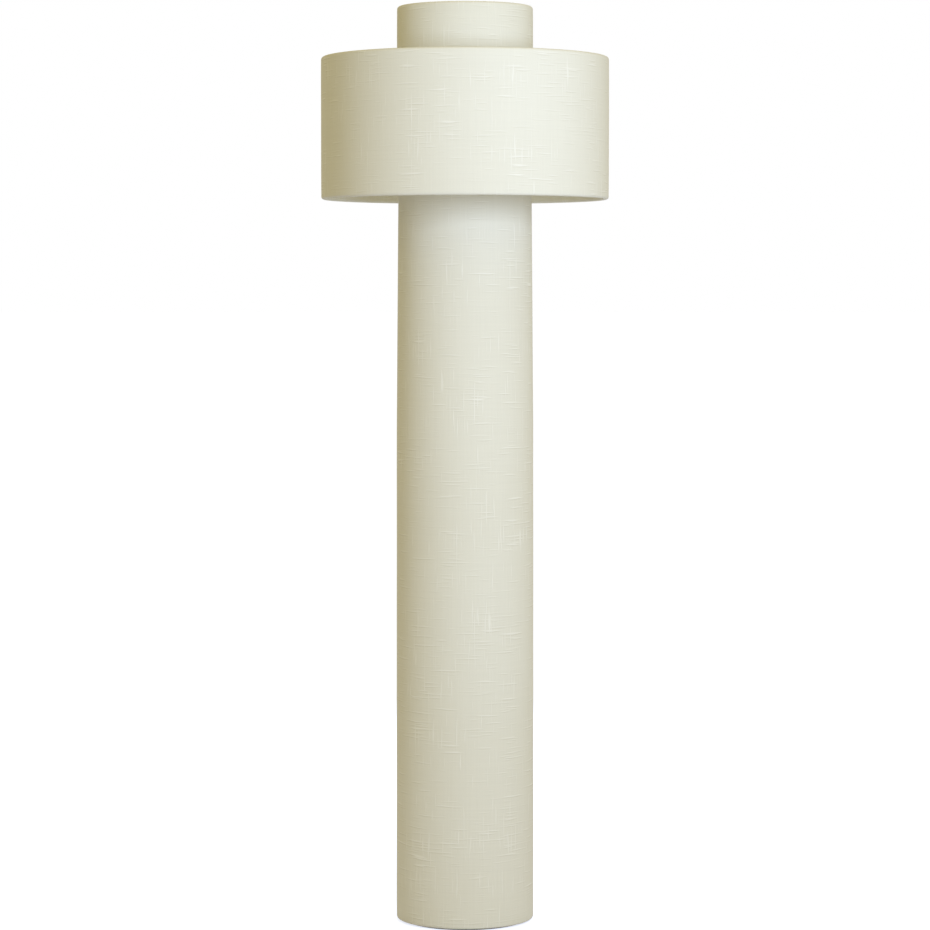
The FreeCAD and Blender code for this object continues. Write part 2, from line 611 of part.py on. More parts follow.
def wire_frame(label, hub_bore, hub_middle, ring_radius, ring_height):
    """A wire frame: a ring, a dropped hub, and bent arms between them, all welded together.
    Each arm starts on the hub, runs flat, climbs an S of two equal arcs and runs on to the ring."""
    body = turned_piece(label, tube_outline(
        "Sizes.hub_radius", hub_bore,
        f"{hub_middle} - Sizes.hub_thickness / 2", f"{hub_middle} + Sizes.hub_thickness / 2"))
    start = "Sizes.hub_radius - Sizes.arm_weld"
    bend = "Sizes.hub_radius + Sizes.arm_bend_start"
    over = f"{bend} + Sizes.arm_bend_run"
    half_run = f"{bend} + Sizes.arm_bend_run / 2"
    drop = f"({ring_height} - ({hub_middle}))"
    radius = f"((Sizes.arm_bend_run ^ 2 + {drop} ^ 2) / (4 * {drop}))"
    section = new_sketch(body, FRONT, "arm_section", f"-({start})")
    draw_circle(section, "0", hub_middle, "Sizes.ring_wire / 2")
    spine = new_sketch(body, SIDE, "arm_spine")
    draw(spine, (
        (start, hub_middle),
        (bend, hub_middle),
        (half_run, f"{hub_middle} + {drop} / 2", bend, f"{hub_middle} + {radius}", 1),
        (over, ring_height, over, f"{ring_height} - {radius}", -1),
        (ring_radius, ring_height),
    ), closed=False)
    arm = body.newObject("PartDesign::AdditivePipe", f"{label}_arm")
    arm.Profile = section
    arm.Spine = (spine, ["Edge1", "Edge2", "Edge3", "Edge4"])
    repeat_round(body, arm, "Sizes.arm_count")
    add_ring(body, "ring", ring_radius, ring_height)
    return body


# ---------------------------------------------------------------------------------------------
# Column: a linen tube, drawn in a little towards its head, that hangs on the pole by its frame
# ---------------------------------------------------------------------------------------------

COLUMN_WAIST = (("Sizes.column_waist_radius", "Sizes.column_waist_height"),)


def make_column_skin():
    skin = turned_piece("column_skin", linen_outline(
        "Sizes.column_foot_radius", "Sizes.column_head_radius",
        "Sizes.floor_gap", "Places.column_top", COLUMN_WAIST))
    cut_grommet_hole(skin)
    cut_arm_slits(skin, "Places.column_high_ring", "Places.column_high_ring_radius",
                  "Places.column_top - Sizes.hem_turn")


def make_column_liner():
    liner = turned_piece("column_liner", backing_outline(
        "Sizes.column_foot_radius", "Sizes.column_head_radius",
        "Places.column_low_ring", "Places.column_high_ring", COLUMN_WAIST))
    cut_grommet_hole(liner)


def make_column_rings():
    make_ring("column_bottom_ring", "Places.column_low_ring_radius", "Places.column_low_ring")
    wire_frame("column_spider", "Places.tube_bore_room", "Places.column_hub_middle",
               "Places.column_high_ring_radius", "Places.column_high_ring")


def make_cord_grommet():
    """A rubber grommet through the back of the column, turned about the lead's own axis."""
    share = "((Sizes.grommet_height - Places.column_low_ring)" \
            " / (Sizes.column_waist_height - Places.column_low_ring))"
    taper = f"(Sizes.column_foot_radius - Sizes.column_waist_radius) * {share}"
    outside = f"Sizes.column_foot_radius - {taper} + Sizes.grommet_room / 4"
    inside = f"Sizes.column_foot_radius - {taper} - Places.shell - Sizes.grommet_room"
    grommet = turned_piece("cord_grommet", (
        ("Sizes.cord_bore", f"{inside} - Sizes.grommet_lip"),
        ("Sizes.grommet_flange", f"{inside} - Sizes.grommet_lip"),
        ("Sizes.grommet_flange", inside),
        ("Sizes.grommet_neck", inside),
        ("Sizes.grommet_neck", outside),
        ("Sizes.grommet_flange", outside),
        ("Sizes.grommet_flange", f"{outside} + Sizes.grommet_lip"),
        ("Sizes.cord_bore", f"{outside} + Sizes.grommet_lip"),
    ))
    grommet.Placement = FreeCAD.Placement(Vector(0, 0, 0), LENGTHWISE_BACK)
    grommet.setExpression("Placement.Base.z", "Sizes.grommet_height")


# ---------------------------------------------------------------------------------------------
# Light unit: the lamp tube, locknut, harp and saddle
# ---------------------------------------------------------------------------------------------


def make_lamp_tube():
    foot = "Places.column_hub_foot - Sizes.tube_below"
    turned_piece("lamp_tube", tube_outline(
        "Sizes.tube_radius", "Sizes.tube_bore", foot, "Places.cone_foot"))


def make_column_locknut():
    blank = doc.addObject("Part::Prism", "column_locknut_blank")
    blank.Polygon = 6
    blank.setExpression("Circumradius", "Sizes.nut_across / sqrt(3)")
    blank.setExpression("Height", "Sizes.nut_height")
    blank.setExpression("Placement.Base.z", "Places.column_hub_top")
    bore = doc.addObject("Part::Cylinder", "column_locknut_bore")
    bore.setExpression("Radius", "Sizes.tube_radius")
    bore.setExpression("Height", "Sizes.nut_height")
    bore.setExpression("Placement.Base.z", "Places.column_hub_top")
    nut = doc.addObject("Part::Cut", "column_locknut")
    nut.Base = blank
    nut.Tool = bore
    nut.Label = "column_locknut"


def make_harp_saddle():
    """A bent strip: a flat middle, arms at 45 degrees, and upright ears that end in tongues."""
    saddle = new_body("harp_saddle")
    foot = "Places.saddle_foot"
    top = "Places.ear_top"
    outside = "Places.ear_outside"
    inside = "Places.ear_inside"
    bend_top = f"{foot} + {outside} - Sizes.saddle_flat"
    corner = "(sqrt(2) - 1) * Sizes.strip"
    strip = new_sketch(saddle, FRONT, "strip")
    draw(strip, (
        ("-Sizes.saddle_flat", foot),
        ("Sizes.saddle_flat", foot),
        (outside, bend_top),
        (outside, top),
        (inside, top),
        (inside, f"{bend_top} + {corner}"),
        (f"Sizes.saddle_flat - {corner}", f"{foot} + Sizes.strip"),
        (f"{corner} - Sizes.saddle_flat", f"{foot} + Sizes.strip"),
        (f"-{inside}", f"{bend_top} + {corner}"),
        (f"-{inside}", top),
        (f"-{outside}", top),
        (f"-{outside}", bend_top),
    ))
    pad(saddle, strip, "Sizes.strip_width", both_ways=True)
    tongues = new_sketch(saddle, FRONT, "tongues")
    tongue_top = f"{top} + Sizes.tongue_height"
    for near, far in ((inside, outside), (f"-{outside}", f"-{inside}")):
        draw(tongues, ((near, f"{top} - Sizes.strip"), (far, f"{top} - Sizes.strip"),
                       (far, tongue_top), (near, tongue_top)))
    pad(saddle, tongues, "Sizes.tongue_width", both_ways=True)
    bore = new_sketch(saddle, FLAT, "bore", foot)
    draw_circle(bore, "0", "0", "Places.tube_bore_room")
    pocket(saddle, bore, "Sizes.strip", backwards=True)


def make_harp():
    """A bent wire that stands on both ears: slotted feet, widening legs and a rounded crown."""
    harp = new_body("harp")
    foot = "Places.ear_top"
    crown = "Places.harp_crown"
    leg = "Sizes.saddle_reach"
    side = "Sizes.harp_half_width"
    low = "Places.harp_bend_foot"
    high = "Places.harp_bend_top"
    radius = "Places.harp_bend_radius"
    middle = f"({leg} + Places.harp_bend_shift / 2)"
    rise = f"{low} + Sizes.harp_shoulder_rise / 2"
    corner_foot = f"{crown} - Sizes.harp_corner"
    corner_side = f"({side} - Sizes.harp_corner)"
    section = new_sketch(harp, FLAT, "wire_section", foot)
    draw_circle(section, leg, "0", "Sizes.harp_wire / 2")
    spine = new_sketch(harp, FRONT, "spine")
    draw(spine, (
        (leg, foot),
        (leg, low),
        (middle, rise, f"{leg} + {radius}", low, -1),
        (side, high, f"{side} - {radius}", high, 1),
        (side, corner_foot),
        (corner_side, crown, corner_side, corner_foot, 1),
        (f"-{corner_side}", crown),
        (f"-{side}", corner_foot, f"-{corner_side}", corner_foot, 1),
        (f"-{side}", high),
        (f"-{middle}", rise, f"{radius} - {side}", high, 1),
        (f"-{leg}", low, f"-({leg} + {radius})", low, -1),
        (f"-{leg}", foot),
    ), closed=False)
    wire = harp.newObject("PartDesign::AdditivePipe", "harp_wire")
    wire.Profile = section
    wire.Spine = (spine, [f"Edge{edge}" for edge in range(1, 12)])
    slots = new_sketch(harp, FRONT, "slots")
    near = f"({leg} - Sizes.strip / 2 - Sizes.tongue_room)"
    far = f"({leg} + Sizes.harp_wire)"
    slot_top = f"{foot} + Sizes.tongue_height + Sizes.tongue_room"
    for left, right in ((near, far), (f"-{far}", f"-{near}")):
        draw(slots, ((left, f"{foot} - Sizes.strip"), (right, f"{foot} - Sizes.strip"),
                     (right, slot_top), (left, slot_top)))
    pocket(harp, slots, "Sizes.tongue_width + 2 * Sizes.tongue_room", both_ways=True)


def make_harp_stud():
    """The turned fitting on the harp's crown: a block round the wire, a seat and a stud."""
    flange_foot = "Places.shade_seat - Sizes.stud_flange"
    block_foot = "Places.harp_crown - Sizes.stud_block_below"
    stud = turned_piece("harp_stud", (
        ("0", block_foot),
        ("Sizes.stud_block_radius", block_foot),
        ("Sizes.stud_block_radius", flange_foot),
        ("Sizes.stud_flange_radius", flange_foot),
        ("Sizes.stud_flange_radius", "Places.shade_seat"),
        ("Sizes.stud_radius", "Places.shade_seat"),
        ("Sizes.stud_radius", "Places.stud_top"),
        ("0", "Places.stud_top"),
    ))
    passage = new_sketch(stud, SIDE, "wire_passage")
    draw_circle(passage, "0", "Places.harp_crown", "Sizes.harp_wire / 2")
    pocket(stud, passage, "3 * Sizes.stud_block_radius", both_ways=True)


def make_harp_ferrules():
    """A beaded sleeve on each leg, which locks the leg to the saddle's tongue."""
    bore = "Sizes.harp_wire / 2 + Sizes.ferrule_fit"
    outside = f"{bore} + Sizes.ferrule_wall"
    bead = f"{outside} + Sizes.ferrule_lip"
    top = "Sizes.ferrule_length"
    for label, reach in (("harp_ferrule_left", "-Sizes.saddle_reach"),
                         ("harp_ferrule_right", "Sizes.saddle_reach")):
        ferrule = turned_piece(label, (
            (bore, "0"),
            (outside, "0"),
            (outside, f"{top} - 3 * Sizes.ferrule_lip"),
            (bead, f"{top} - 2 * Sizes.ferrule_lip"),
            (bead, f"{top} - Sizes.ferrule_lip"),
            (outside, top),
            (bore, top),
        ))
        ferrule.setExpression("Placement.Base.x", reach)
        ferrule.setExpression("Placement.Base.z", "Places.ear_top")


# ---------------------------------------------------------------------------------------------
# Lamp holder: a turn-knob socket, and the bulb in it
# ---------------------------------------------------------------------------------------------


def make_socket_cap():
    wall = "Sizes.socket_wall"
    inside = f"Sizes.socket_radius - {wall}"
    throat = f"Sizes.socket_neck_radius - {wall}"
    turned_piece("socket_cap", (
        ("Sizes.tube_radius", "Places.socket_foot"),
        ("Sizes.socket_neck_radius", "Places.socket_foot"),
        ("Sizes.socket_neck_radius", "Places.cone_foot"),
        ("Sizes.socket_radius", "Places.cone_top"),
        ("Sizes.socket_radius", "Places.rim_top"),
        (inside, "Places.rim_top"),
        (inside, f"Places.cone_top + {wall} / 2"),
        (throat, f"Places.cone_foot + {wall}"),
        ("Sizes.tube_radius", f"Places.cone_foot + {wall}"),
    ))


def make_socket_shell():
    """A drawn shell, pushed into the cap, with a rolled bead at its mouth."""
    outside = "Places.shell_radius"
    inside = f"{outside} - Sizes.socket_wall"
    bead_middle = "Places.shell_top - Sizes.shell_bead"
    shell = turned_piece("socket_shell", (
        (inside, "Places.shell_foot"),
        (outside, "Places.shell_foot"),
        (outside, f"{bead_middle} - Sizes.shell_bead"),
        (outside, "Places.shell_top", outside, bead_middle, 1),
        (inside, "Places.shell_top"),
    ))
    hole = new_sketch(shell, FRONT, "boss_hole")
    draw_circle(hole, "0", "Places.spindle_axis", "Sizes.boss_radius + Sizes.boss_room")
    pocket(shell, hole, "2 * Sizes.socket_radius", backwards=True)


def make_socket_sleeve():
    sleeve = turned_piece("socket_sleeve", tube_outline(
        "Places.sleeve_radius", "Places.sleeve_radius - Sizes.sleeve_wall",
        "Places.shell_foot", "Places.shell_top - 2 * Sizes.shell_bead"))
    hole = new_sketch(sleeve, FRONT, "boss_hole")
    draw_circle(hole, "0", "Places.spindle_axis", "Sizes.boss_radius + Sizes.boss_room")
    pocket(sleeve, hole, "2 * Sizes.socket_radius", backwards=True)


def make_switch_block():
    """A moulded block with a boss at the front, bored for the spindle."""
    block = turned_piece("switch_block", (
        ("0", "Places.shell_foot"),
        ("Places.block_radius", "Places.shell_foot"),
        ("Places.block_radius", "Places.block_top"),
        ("0", "Places.block_top"),
    ))
    boss = new_sketch(block, FRONT, "boss")
    draw_circle(boss, "0", "Places.spindle_axis", "Sizes.boss_radius")
    pad(block, boss, "Sizes.boss_reach")
    bore = new_sketch(block, FRONT, "spindle_bore")
    draw_circle(bore, "0", "Places.spindle_axis", "Sizes.spindle_radius + Sizes.spindle_fit")
    pocket(block, bore, "Sizes.boss_reach", backwards=True)


def make_centre_contact():
    turned_piece("centre_contact", (
        ("0", "Places.block_top"),
        ("Sizes.contact_radius", "Places.block_top"),
        ("Sizes.contact_radius", "Places.block_top + Sizes.contact_height / 2"),
        ("Sizes.contact_radius / 2", "Places.contact_top"),
        ("0", "Places.contact_top"),
    ))


def make_screw_shell():
    radius = "Places.screw_shell_radius"
    wall = "Sizes.screw_shell_wall"
    turned_piece("screw_shell", (
        (f"Sizes.contact_radius + {wall}", "Places.block_top"),
        (radius, "Places.block_top"),
        (radius, "Places.block_top + Sizes.screw_shell_height"),
        (f"{radius} - {wall}", "Places.block_top + Sizes.screw_shell_height"),
        (f"{radius} - {wall}", f"Places.block_top + {wall}"),
        (f"Sizes.contact_radius + {wall}", f"Places.block_top + {wall}"),
    ))


def make_bulb():
    """A screw cap with an insulated tip, and a thin globe whose cone is tangent to its sphere."""
    turned_piece("bulb_tip", (
        ("0", "Places.contact_top"),
        ("Sizes.bulb_tip_radius", "Places.contact_top"),
        ("Sizes.bulb_cap_foot", "Places.cap_foot"),
        ("0", "Places.cap_foot"),
    ))
    turned_piece("bulb_cap", (
        ("0", "Places.cap_foot"),
        ("Sizes.bulb_cap_foot", "Places.cap_foot"),
        ("Sizes.bulb_cap_radius", "Places.cap_foot + Sizes.bulb_tip_height"),
        ("Sizes.bulb_cap_radius", "Places.cap_top"),
        ("0", "Places.cap_top"),
    ))
    neck = "Sizes.bulb_cap_radius"
    bore = "(Sizes.bulb_cap_radius - Sizes.bulb_wall)"
    outer = "Sizes.bulb_radius"
    inner = "(Sizes.bulb_radius - Sizes.bulb_wall)"
    middle = "Places.globe_middle"
    neck_top = "Places.cap_top + Sizes.bulb_neck_height"
    drop = "(Sizes.bulb_rise - Sizes.bulb_neck_height)"
    # The cone leaves the neck's upper edge and touches the sphere where its radius is square to it.
    turn = f"(acos({outer} / sqrt({neck} ^ 2 + {drop} ^ 2)) - atan({drop} / {neck}))"
    touch = f"cos({turn})"
    below = f"sin({turn})"
    turned_piece("bulb_globe", (
        (neck, "Places.cap_top"),
        (neck, neck_top),
        (f"{outer} * {touch}", f"{middle} + {outer} * {below}"),
        ("0", f"{middle} + {outer}", "0", middle, 1),
        ("0", f"{middle} + {inner}"),
        (f"{inner} * {touch}", f"{middle} + {inner} * {below}", "0", middle, -1),
        (bore, neck_top),
        (bore, "Places.cap_top"),
    ))


def make_switch():
    """The spindle and its fluted knob, turned about the spindle's own axis and laid forwards."""
    knob_foot = "Sizes.boss_reach + Sizes.knob_gap"
    knob_end = f"{knob_foot} + Sizes.knob_length"
    bore = "Sizes.spindle_radius"
    bore_end = f"{knob_end} - Sizes.knob_crown - Sizes.spindle_radius"
    crown = "Sizes.knob_radius - Sizes.knob_crown"
    spindle = turned_piece("switch_spindle", (
        ("0", "Sizes.spindle_depth"),
        ("Sizes.spindle_radius", "Sizes.spindle_depth"),
        ("Sizes.spindle_radius", bore_end),
        ("0", bore_end),
    ))
    knob = turned_piece("switch_knob", (
        (bore, knob_foot),
        ("Sizes.knob_radius", knob_foot),
        ("Sizes.knob_radius", f"{knob_end} - Sizes.knob_crown"),
        (crown, knob_end, crown, f"{knob_end} - Sizes.knob_crown", 1),
        ("0", knob_end),
        ("0", bore_end),
        (bore, bore_end),
    ))
    flute = new_sketch(knob, FLAT, "flute", f"{knob_foot} + Sizes.knob_crown")
    draw_circle(flute, "Sizes.knob_radius + Sizes.flute_radius / 2", "0", "Sizes.flute_radius")
    cut = pocket(knob, flute, "Sizes.knob_length", backwards=True)
    repeat_round(knob, cut, "Sizes.knob_flutes")
    for piece in (spindle, knob):
        piece.Placement = FreeCAD.Placement(Vector(0, 0, 0), LENGTHWISE_FRONT)
        piece.setExpression("Placement.Base.z", "Places.spindle_axis")


# ---------------------------------------------------------------------------------------------
# Hat: the drum and the collar on one wire frame, and the finial that holds it on the harp
# ---------------------------------------------------------------------------------------------


def make_hat_spider():
    """The drum's top frame, with the collar's lower ring welded across its arms."""
    spider = wire_frame("hat_spider", "Sizes.stud_radius + Sizes.drum_bore_room",
                        "Places.shade_seat + Sizes.hub_thickness / 2",
                        "Places.drum_ring_radius", "Places.drum_high_ring")
    add_ring(spider, "collar_ring", "Places.collar_ring_radius", "Places.drum_high_ring")


def make_drum():
    radius = "Sizes.drum_radius"
    skin = turned_piece("drum_skin", linen_outline(
        radius, radius, "Places.drum_foot", "Places.drum_top"))
    cut_arm_slits(skin, "Places.drum_high_ring", "Places.drum_ring_radius",
                  "Places.drum_top - Sizes.hem_turn")
    turned_piece("drum_liner", backing_outline(
        radius, radius, "Places.drum_low_ring", "Places.drum_high_ring"))
    make_ring("drum_bottom_ring", "Places.drum_ring_radius", "Places.drum_low_ring")


def make_collar():
    radius = "Sizes.collar_radius"
    skin = turned_piece("collar_skin", linen_outline(
        radius, radius, "Places.collar_foot", "Places.collar_top"))
    cut_arm_slits(skin, "Places.drum_high_ring", "Sizes.collar_radius + Places.hem",
                  "Places.collar_foot - Places.hem")
    liner = turned_piece("collar_liner", backing_outline(
        radius, radius, "Places.drum_high_ring", "Places.collar_high_ring"))
    cut_arm_slits(liner, "Places.drum_high_ring", "Sizes.collar_radius + Places.hem",
                  "Places.collar_foot - Places.hem")
    make_ring("collar_top_ring", "Places.collar_ring_radius", "Places.collar_high_ring")


def make_finial():
    """A turned finial with a blind bore, screwed down onto the drum's hub."""
    foot = "Places.drum_hub_top"
    foot_top = f"{foot} + Sizes.finial_foot_height"
    neck_top = f"{foot_top} + Sizes.finial_neck_height"
    ball_drop = "sqrt(Sizes.finial_ball_radius ^ 2 - Sizes.finial_neck_radius ^ 2)"
    ball_middle = f"({neck_top} + {ball_drop})"
    bore = "Sizes.stud_radius + Sizes.finial_fit"
    bore_top = "Places.stud_top + Sizes.finial_bore_room"
    turned_piece("finial", (
        (bore, foot),
        ("Sizes.finial_foot_radius", foot),
        ("Sizes.finial_foot_radius", foot_top),
        ("Sizes.finial_neck_radius", foot_top),
        ("Sizes.finial_neck_radius", neck_top),
        ("0", f"{ball_middle} + Sizes.finial_ball_radius", "0", ball_middle, 1),
        ("0", bore_top),
        (bore, bore_top),
    ))


# ---------------------------------------------------------------------------------------------
# Build every piece, check it and write it
# ---------------------------------------------------------------------------------------------

for make in (
    make_floor_pad, make_base_plate, make_base_bolt, make_base_washer, make_pole_foot,
    make_pole_lower, make_pole_coupler, make_pole_upper, make_pole_cap, make_outlet_bushing,
    make_column_skin, make_column_liner, make_column_rings, make_cord_grommet,
    make_lamp_tube, make_column_locknut, make_harp_saddle, make_harp, make_harp_stud,
    make_harp_ferrules, make_socket_cap, make_socket_shell, make_socket_sleeve,
    make_switch_block, make_centre_contact, make_screw_shell, make_bulb, make_switch,
    make_hat_spider, make_drum, make_collar, make_finial,
):
    make()

NODES = (
    "floor_pad", "base_plate", "base_bolt", "base_washer", "pole_foot", "pole_lower",
    "pole_coupler", "pole_upper", "pole_cap", "outlet_bushing", "column_skin", "column_liner",
    "column_bottom_ring", "column_spider", "cord_grommet", "lamp_tube", "column_locknut",
    "harp_saddle", "harp", "harp_stud", "harp_ferrule_left", "harp_ferrule_right", "socket_cap",
    "socket_shell", "socket_sleeve", "switch_block", "centre_contact", "screw_shell", "bulb_tip",
    "bulb_cap", "bulb_globe", "switch_spindle", "switch_knob", "hat_spider", "drum_skin",
    "drum_liner", "drum_bottom_ring", "collar_skin", "collar_liner", "collar_top_ring", "finial",
)

doc.recompute()
for item in doc.Objects:
    if {"Invalid", "Error"} & set(item.State):
        raise RuntimeError(f"{item.Label} did not build: {item.State}")

os.makedirs("parts", exist_ok=True)
pieces = {item.Label: item for item in doc.Objects}
for node in NODES:
    shape = pieces[node].Shape
    if shape.isNull() or not shape.isValid() or len(shape.Solids) != 1:
        raise RuntimeError(f"{node} is not one valid solid")
for node in NODES:
    pieces[node].Shape.exportStep(f"parts/{node}.step")

height = number("Places.collar_top")
width = 2 * number("Sizes.drum_radius")
print(f"{len(NODES)} pieces, {height:.1f} mm tall and {width:.1f} mm wide")
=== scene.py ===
# A column floor lamp. A tall linen column hides a steel pole on a cast base, and a wide drum with a
# short collar on top hangs over its head on a harp. Sizes are in metres.
import math

import bmesh
import bpy
from mathutils import Matrix, Vector, noise


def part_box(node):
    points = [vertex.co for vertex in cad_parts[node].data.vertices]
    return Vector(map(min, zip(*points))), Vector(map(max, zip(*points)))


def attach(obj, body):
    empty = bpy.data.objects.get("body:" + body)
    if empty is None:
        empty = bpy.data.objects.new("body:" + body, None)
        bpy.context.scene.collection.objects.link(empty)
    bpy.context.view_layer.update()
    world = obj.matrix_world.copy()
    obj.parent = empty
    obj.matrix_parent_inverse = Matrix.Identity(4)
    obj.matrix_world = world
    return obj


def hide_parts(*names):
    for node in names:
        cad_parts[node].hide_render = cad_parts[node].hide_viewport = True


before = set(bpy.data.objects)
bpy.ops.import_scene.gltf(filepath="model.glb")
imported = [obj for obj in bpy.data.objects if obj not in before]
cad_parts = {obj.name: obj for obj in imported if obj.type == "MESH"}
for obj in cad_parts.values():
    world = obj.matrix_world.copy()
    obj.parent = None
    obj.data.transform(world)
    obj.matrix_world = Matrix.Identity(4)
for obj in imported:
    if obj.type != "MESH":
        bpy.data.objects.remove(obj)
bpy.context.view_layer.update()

# ---------------------------------------------------------------------------------------------
# The studio. The camera stands 5.6 m in front at chest height and looks down a little. A cool soft
# box lights the front right, a weaker light the back and a snooted one the collar, and warm light
# off the room and the floor fills the rest.
# ---------------------------------------------------------------------------------------------


def linear(code):
    """The linear colour of an sRGB hex code."""
    parts = [int(code[at:at + 2], 16) / 255 for at in (1, 3, 5)]
    return [part / 12.92 if part < 0.04045 else ((part + 0.055) / 1.055) ** 2.4
            for part in parts] + [1.0]


def add(owner, kind, feeds=None, **settings):
    """Adds one node to a material or a world, with its settings and with what feeds its inputs:
    a value, or another node's output."""
    fresh = owner.node_tree.nodes.new("ShaderNode" + kind)
    for setting, value in settings.items():
        setattr(fresh, setting, value)
    for socket, source in (feeds or {}).items():
        if isinstance(source, bpy.types.NodeSocket):
            owner.node_tree.links.new(source, fresh.inputs[socket])
        else:
            fresh.inputs[socket].default_value = source
    return fresh


def seen_directly(owner):
    """1 for a ray that ends in the eye, straight or by way of a gloss or glass, and 0 for light."""
    path = add(owner, "LightPath")
    either = add(owner, "Math", {
        0: path.outputs["Is Camera Ray"], 1: path.outputs["Is Glossy Ray"]}, operation="MAXIMUM")
    return add(owner, "Math", {0: either.outputs[0], 1: path.outputs["Is Transmission Ray"]},
               operation="MAXIMUM").outputs[0]


optics = bpy.data.cameras.new("studio_camera")
optics.lens = 122.88
optics.sensor_width = 36.0
camera = bpy.data.objects.new("studio_camera", optics)
camera.location = (0.0, -5.5635, 1.0886)
camera.rotation_euler = (math.radians(87.05), 0.0, 0.0)
bpy.context.collection.objects.link(camera)
bpy.context.scene.camera = camera
bpy.context.scene.view_settings.view_transform = "Standard"

room = bpy.data.worlds.new("studio_room")
room.use_nodes = True
room.node_tree.nodes.clear()
fill = add(room, "Background", {"Color": (1.13, 1.0, 0.55, 1.0), "Strength": 0.493})
paper = add(room, "Background", {"Color": (1.0, 1.0, 1.0, 1.0), "Strength": 1.0})
surround = add(room, "MixShader", {0: seen_directly(room), 1: fill.outputs[0], 2: paper.outputs[0]})
add(room, "OutputWorld", {"Surface": surround.outputs[0]})
bpy.context.scene.world = room


def light(name, kind, power, tint, stand, height):
    """One light on its stand, turned to a height on the lamp's axis."""
    source = bpy.data.lights.new(name, kind)
    source.energy = power
    source.color = tint
    holder = bpy.data.objects.new(name, source)
    holder.location = stand
    way = Vector((0.0, 0.0, height)) - holder.location
    holder.rotation_euler = way.to_track_quat("-Z", "Y").to_euler()
    bpy.context.collection.objects.link(holder)
    return source


soft_box = light("soft_box", "AREA", 30.2, (0.84, 1.0, 1.37), (0.90, -2.12, 1.50), 1.80)
soft_box.shape = "RECTANGLE"
soft_box.size = 0.8
soft_box.size_y = 1.0

back_light = light("back_light", "AREA", 34.0, (0.82, 1.0, 1.38), (0.0, 2.7, 1.7), 1.1)
back_light.shape = "RECTANGLE"
back_light.size = 1.2
back_light.size_y = 1.6

snoot = light("collar_light", "SPOT", 5.8, (1.0, 1.0, 1.0), (-0.60, -3.00, 1.60), 2.1)
snoot.spot_size = math.radians(22.6)
snoot.spot_blend = 0.06
snoot.shadow_soft_size = 0.02

shape = bmesh.new()
bmesh.ops.create_grid(shape, x_segments=1, y_segments=1, size=300.0)
ground = bpy.data.meshes.new("studio_floor")
shape.to_mesh(ground)
shape.free()
floor = bpy.data.objects.new("studio_floor", ground)
bpy.context.collection.objects.link(floor)

# Matt backdrop paper, a little blue against the warm room. It reads white where the light falls,
# keeps the lamp's soft shadow, and throws some of the room's warm light back up.
backdrop = bpy.data.materials.new("matt_backdrop_paper")
backdrop.use_nodes = True
backdrop.node_tree.nodes.clear()
matt = add(backdrop, "BsdfDiffuse", {"Color": linear("#BCC1D7")})
lift = add(backdrop, "Emission", {"Color": (0.74, 0.76, 0.84, 1.0), "Strength": 1.0})
rise = add(backdrop, "Emission", {"Color": (1.15, 1.0, 0.80, 1.0), "Strength": 0.099})
shown = add(backdrop, "MixShader", {
    0: seen_directly(backdrop), 1: rise.outputs[0], 2: lift.outputs[0]})
both = add(backdrop, "AddShader", {0: matt.outputs[0], 1: shown.outputs[0]})
add(backdrop, "OutputMaterial", {"Surface": both.outputs[0]})
ground.materials.append(backdrop)

# ---------------------------------------------------------------------------------------------
# The floor pad: a ring of 3 mm closed-cell foam, die cut and stuck under the base plate, so that
# the lamp neither slides nor marks the floor.
# ---------------------------------------------------------------------------------------------


def new_finish(name):
    """An empty material of that name, for the nodes of one finish."""
    made = bpy.data.materials.new(name)
    made.use_nodes = True
    made.node_tree.nodes.clear()
    return made


def give(finish, *names):
    """Puts a finish on pieces of the construction model."""
    for name in names:
        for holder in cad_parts[name].material_slots:
            holder.material = finish


# Closed-cell foam: near black and dull, pitted with cut cells of about 0.6 mm.
foam = new_finish("closed_cell_foam")
where = add(foam, "TexCoord").outputs["Object"]
cells = add(foam, "TexVoronoi", {"Vector": where, "Scale": 1600.0}, feature="F1")
dust = add(foam, "TexNoise", {"Vector": where, "Scale": 60.0, "Detail": 4.0})
tone = add(foam, "Mix", {0: dust.outputs[0], 6: linear("#2A2A2B"), 7: linear("#3C3B39")},
           data_type="RGBA")
pits = add(foam, "Bump", {"Height": cells.outputs["Distance"], "Strength": 0.6, "Distance": 0.0003})
skin = add(foam, "BsdfPrincipled", {
    "Base Color": tone.outputs[2], "Roughness": 0.92, "IOR": 1.49, "Normal": pits.outputs[0]})
add(foam, "OutputMaterial", {"Surface": skin.outputs[0]})
give(foam, "floor_pad")

# ---------------------------------------------------------------------------------------------
# The base: a round plate of sand-cast iron in black primer, bolted under the pole's foot with a
# zinc-plated bolt and washer.
# ---------------------------------------------------------------------------------------------

# Primed cast iron: dull black over a skin that keeps the grain of the moulding sand, about 0.7 mm.
cast_iron = new_finish("primed_cast_iron")
where = add(cast_iron, "TexCoord").outputs["Object"]
sand = add(cast_iron, "TexNoise", {
    "Vector": where, "Scale": 900.0, "Detail": 5.0, "Roughness": 0.62})
swell = add(cast_iron, "TexNoise", {"Vector": where, "Scale": 45.0, "Detail": 2.0})
chips = add(cast_iron, "TexNoise", {
    "Vector": where, "Scale": 210.0, "Detail": 6.0, "Roughness": 0.7})
chipped = add(cast_iron, "MapRange", {"Value": chips.outputs[0], 1: 0.66, 2: 0.70})
primer = add(cast_iron, "Mix", {0: swell.outputs[0], 6: linear("#1B1C1D"), 7: linear("#303133")},
             data_type="RGBA")
worn = add(cast_iron, "Mix", {0: chipped.outputs[0], 6: primer.outputs[2], 7: linear("#5A5754")},
           data_type="RGBA")
gloss = add(cast_iron, "MapRange", {"Value": swell.outputs[0], 1: 0.3, 2: 0.7, 3: 0.5, 4: 0.72})
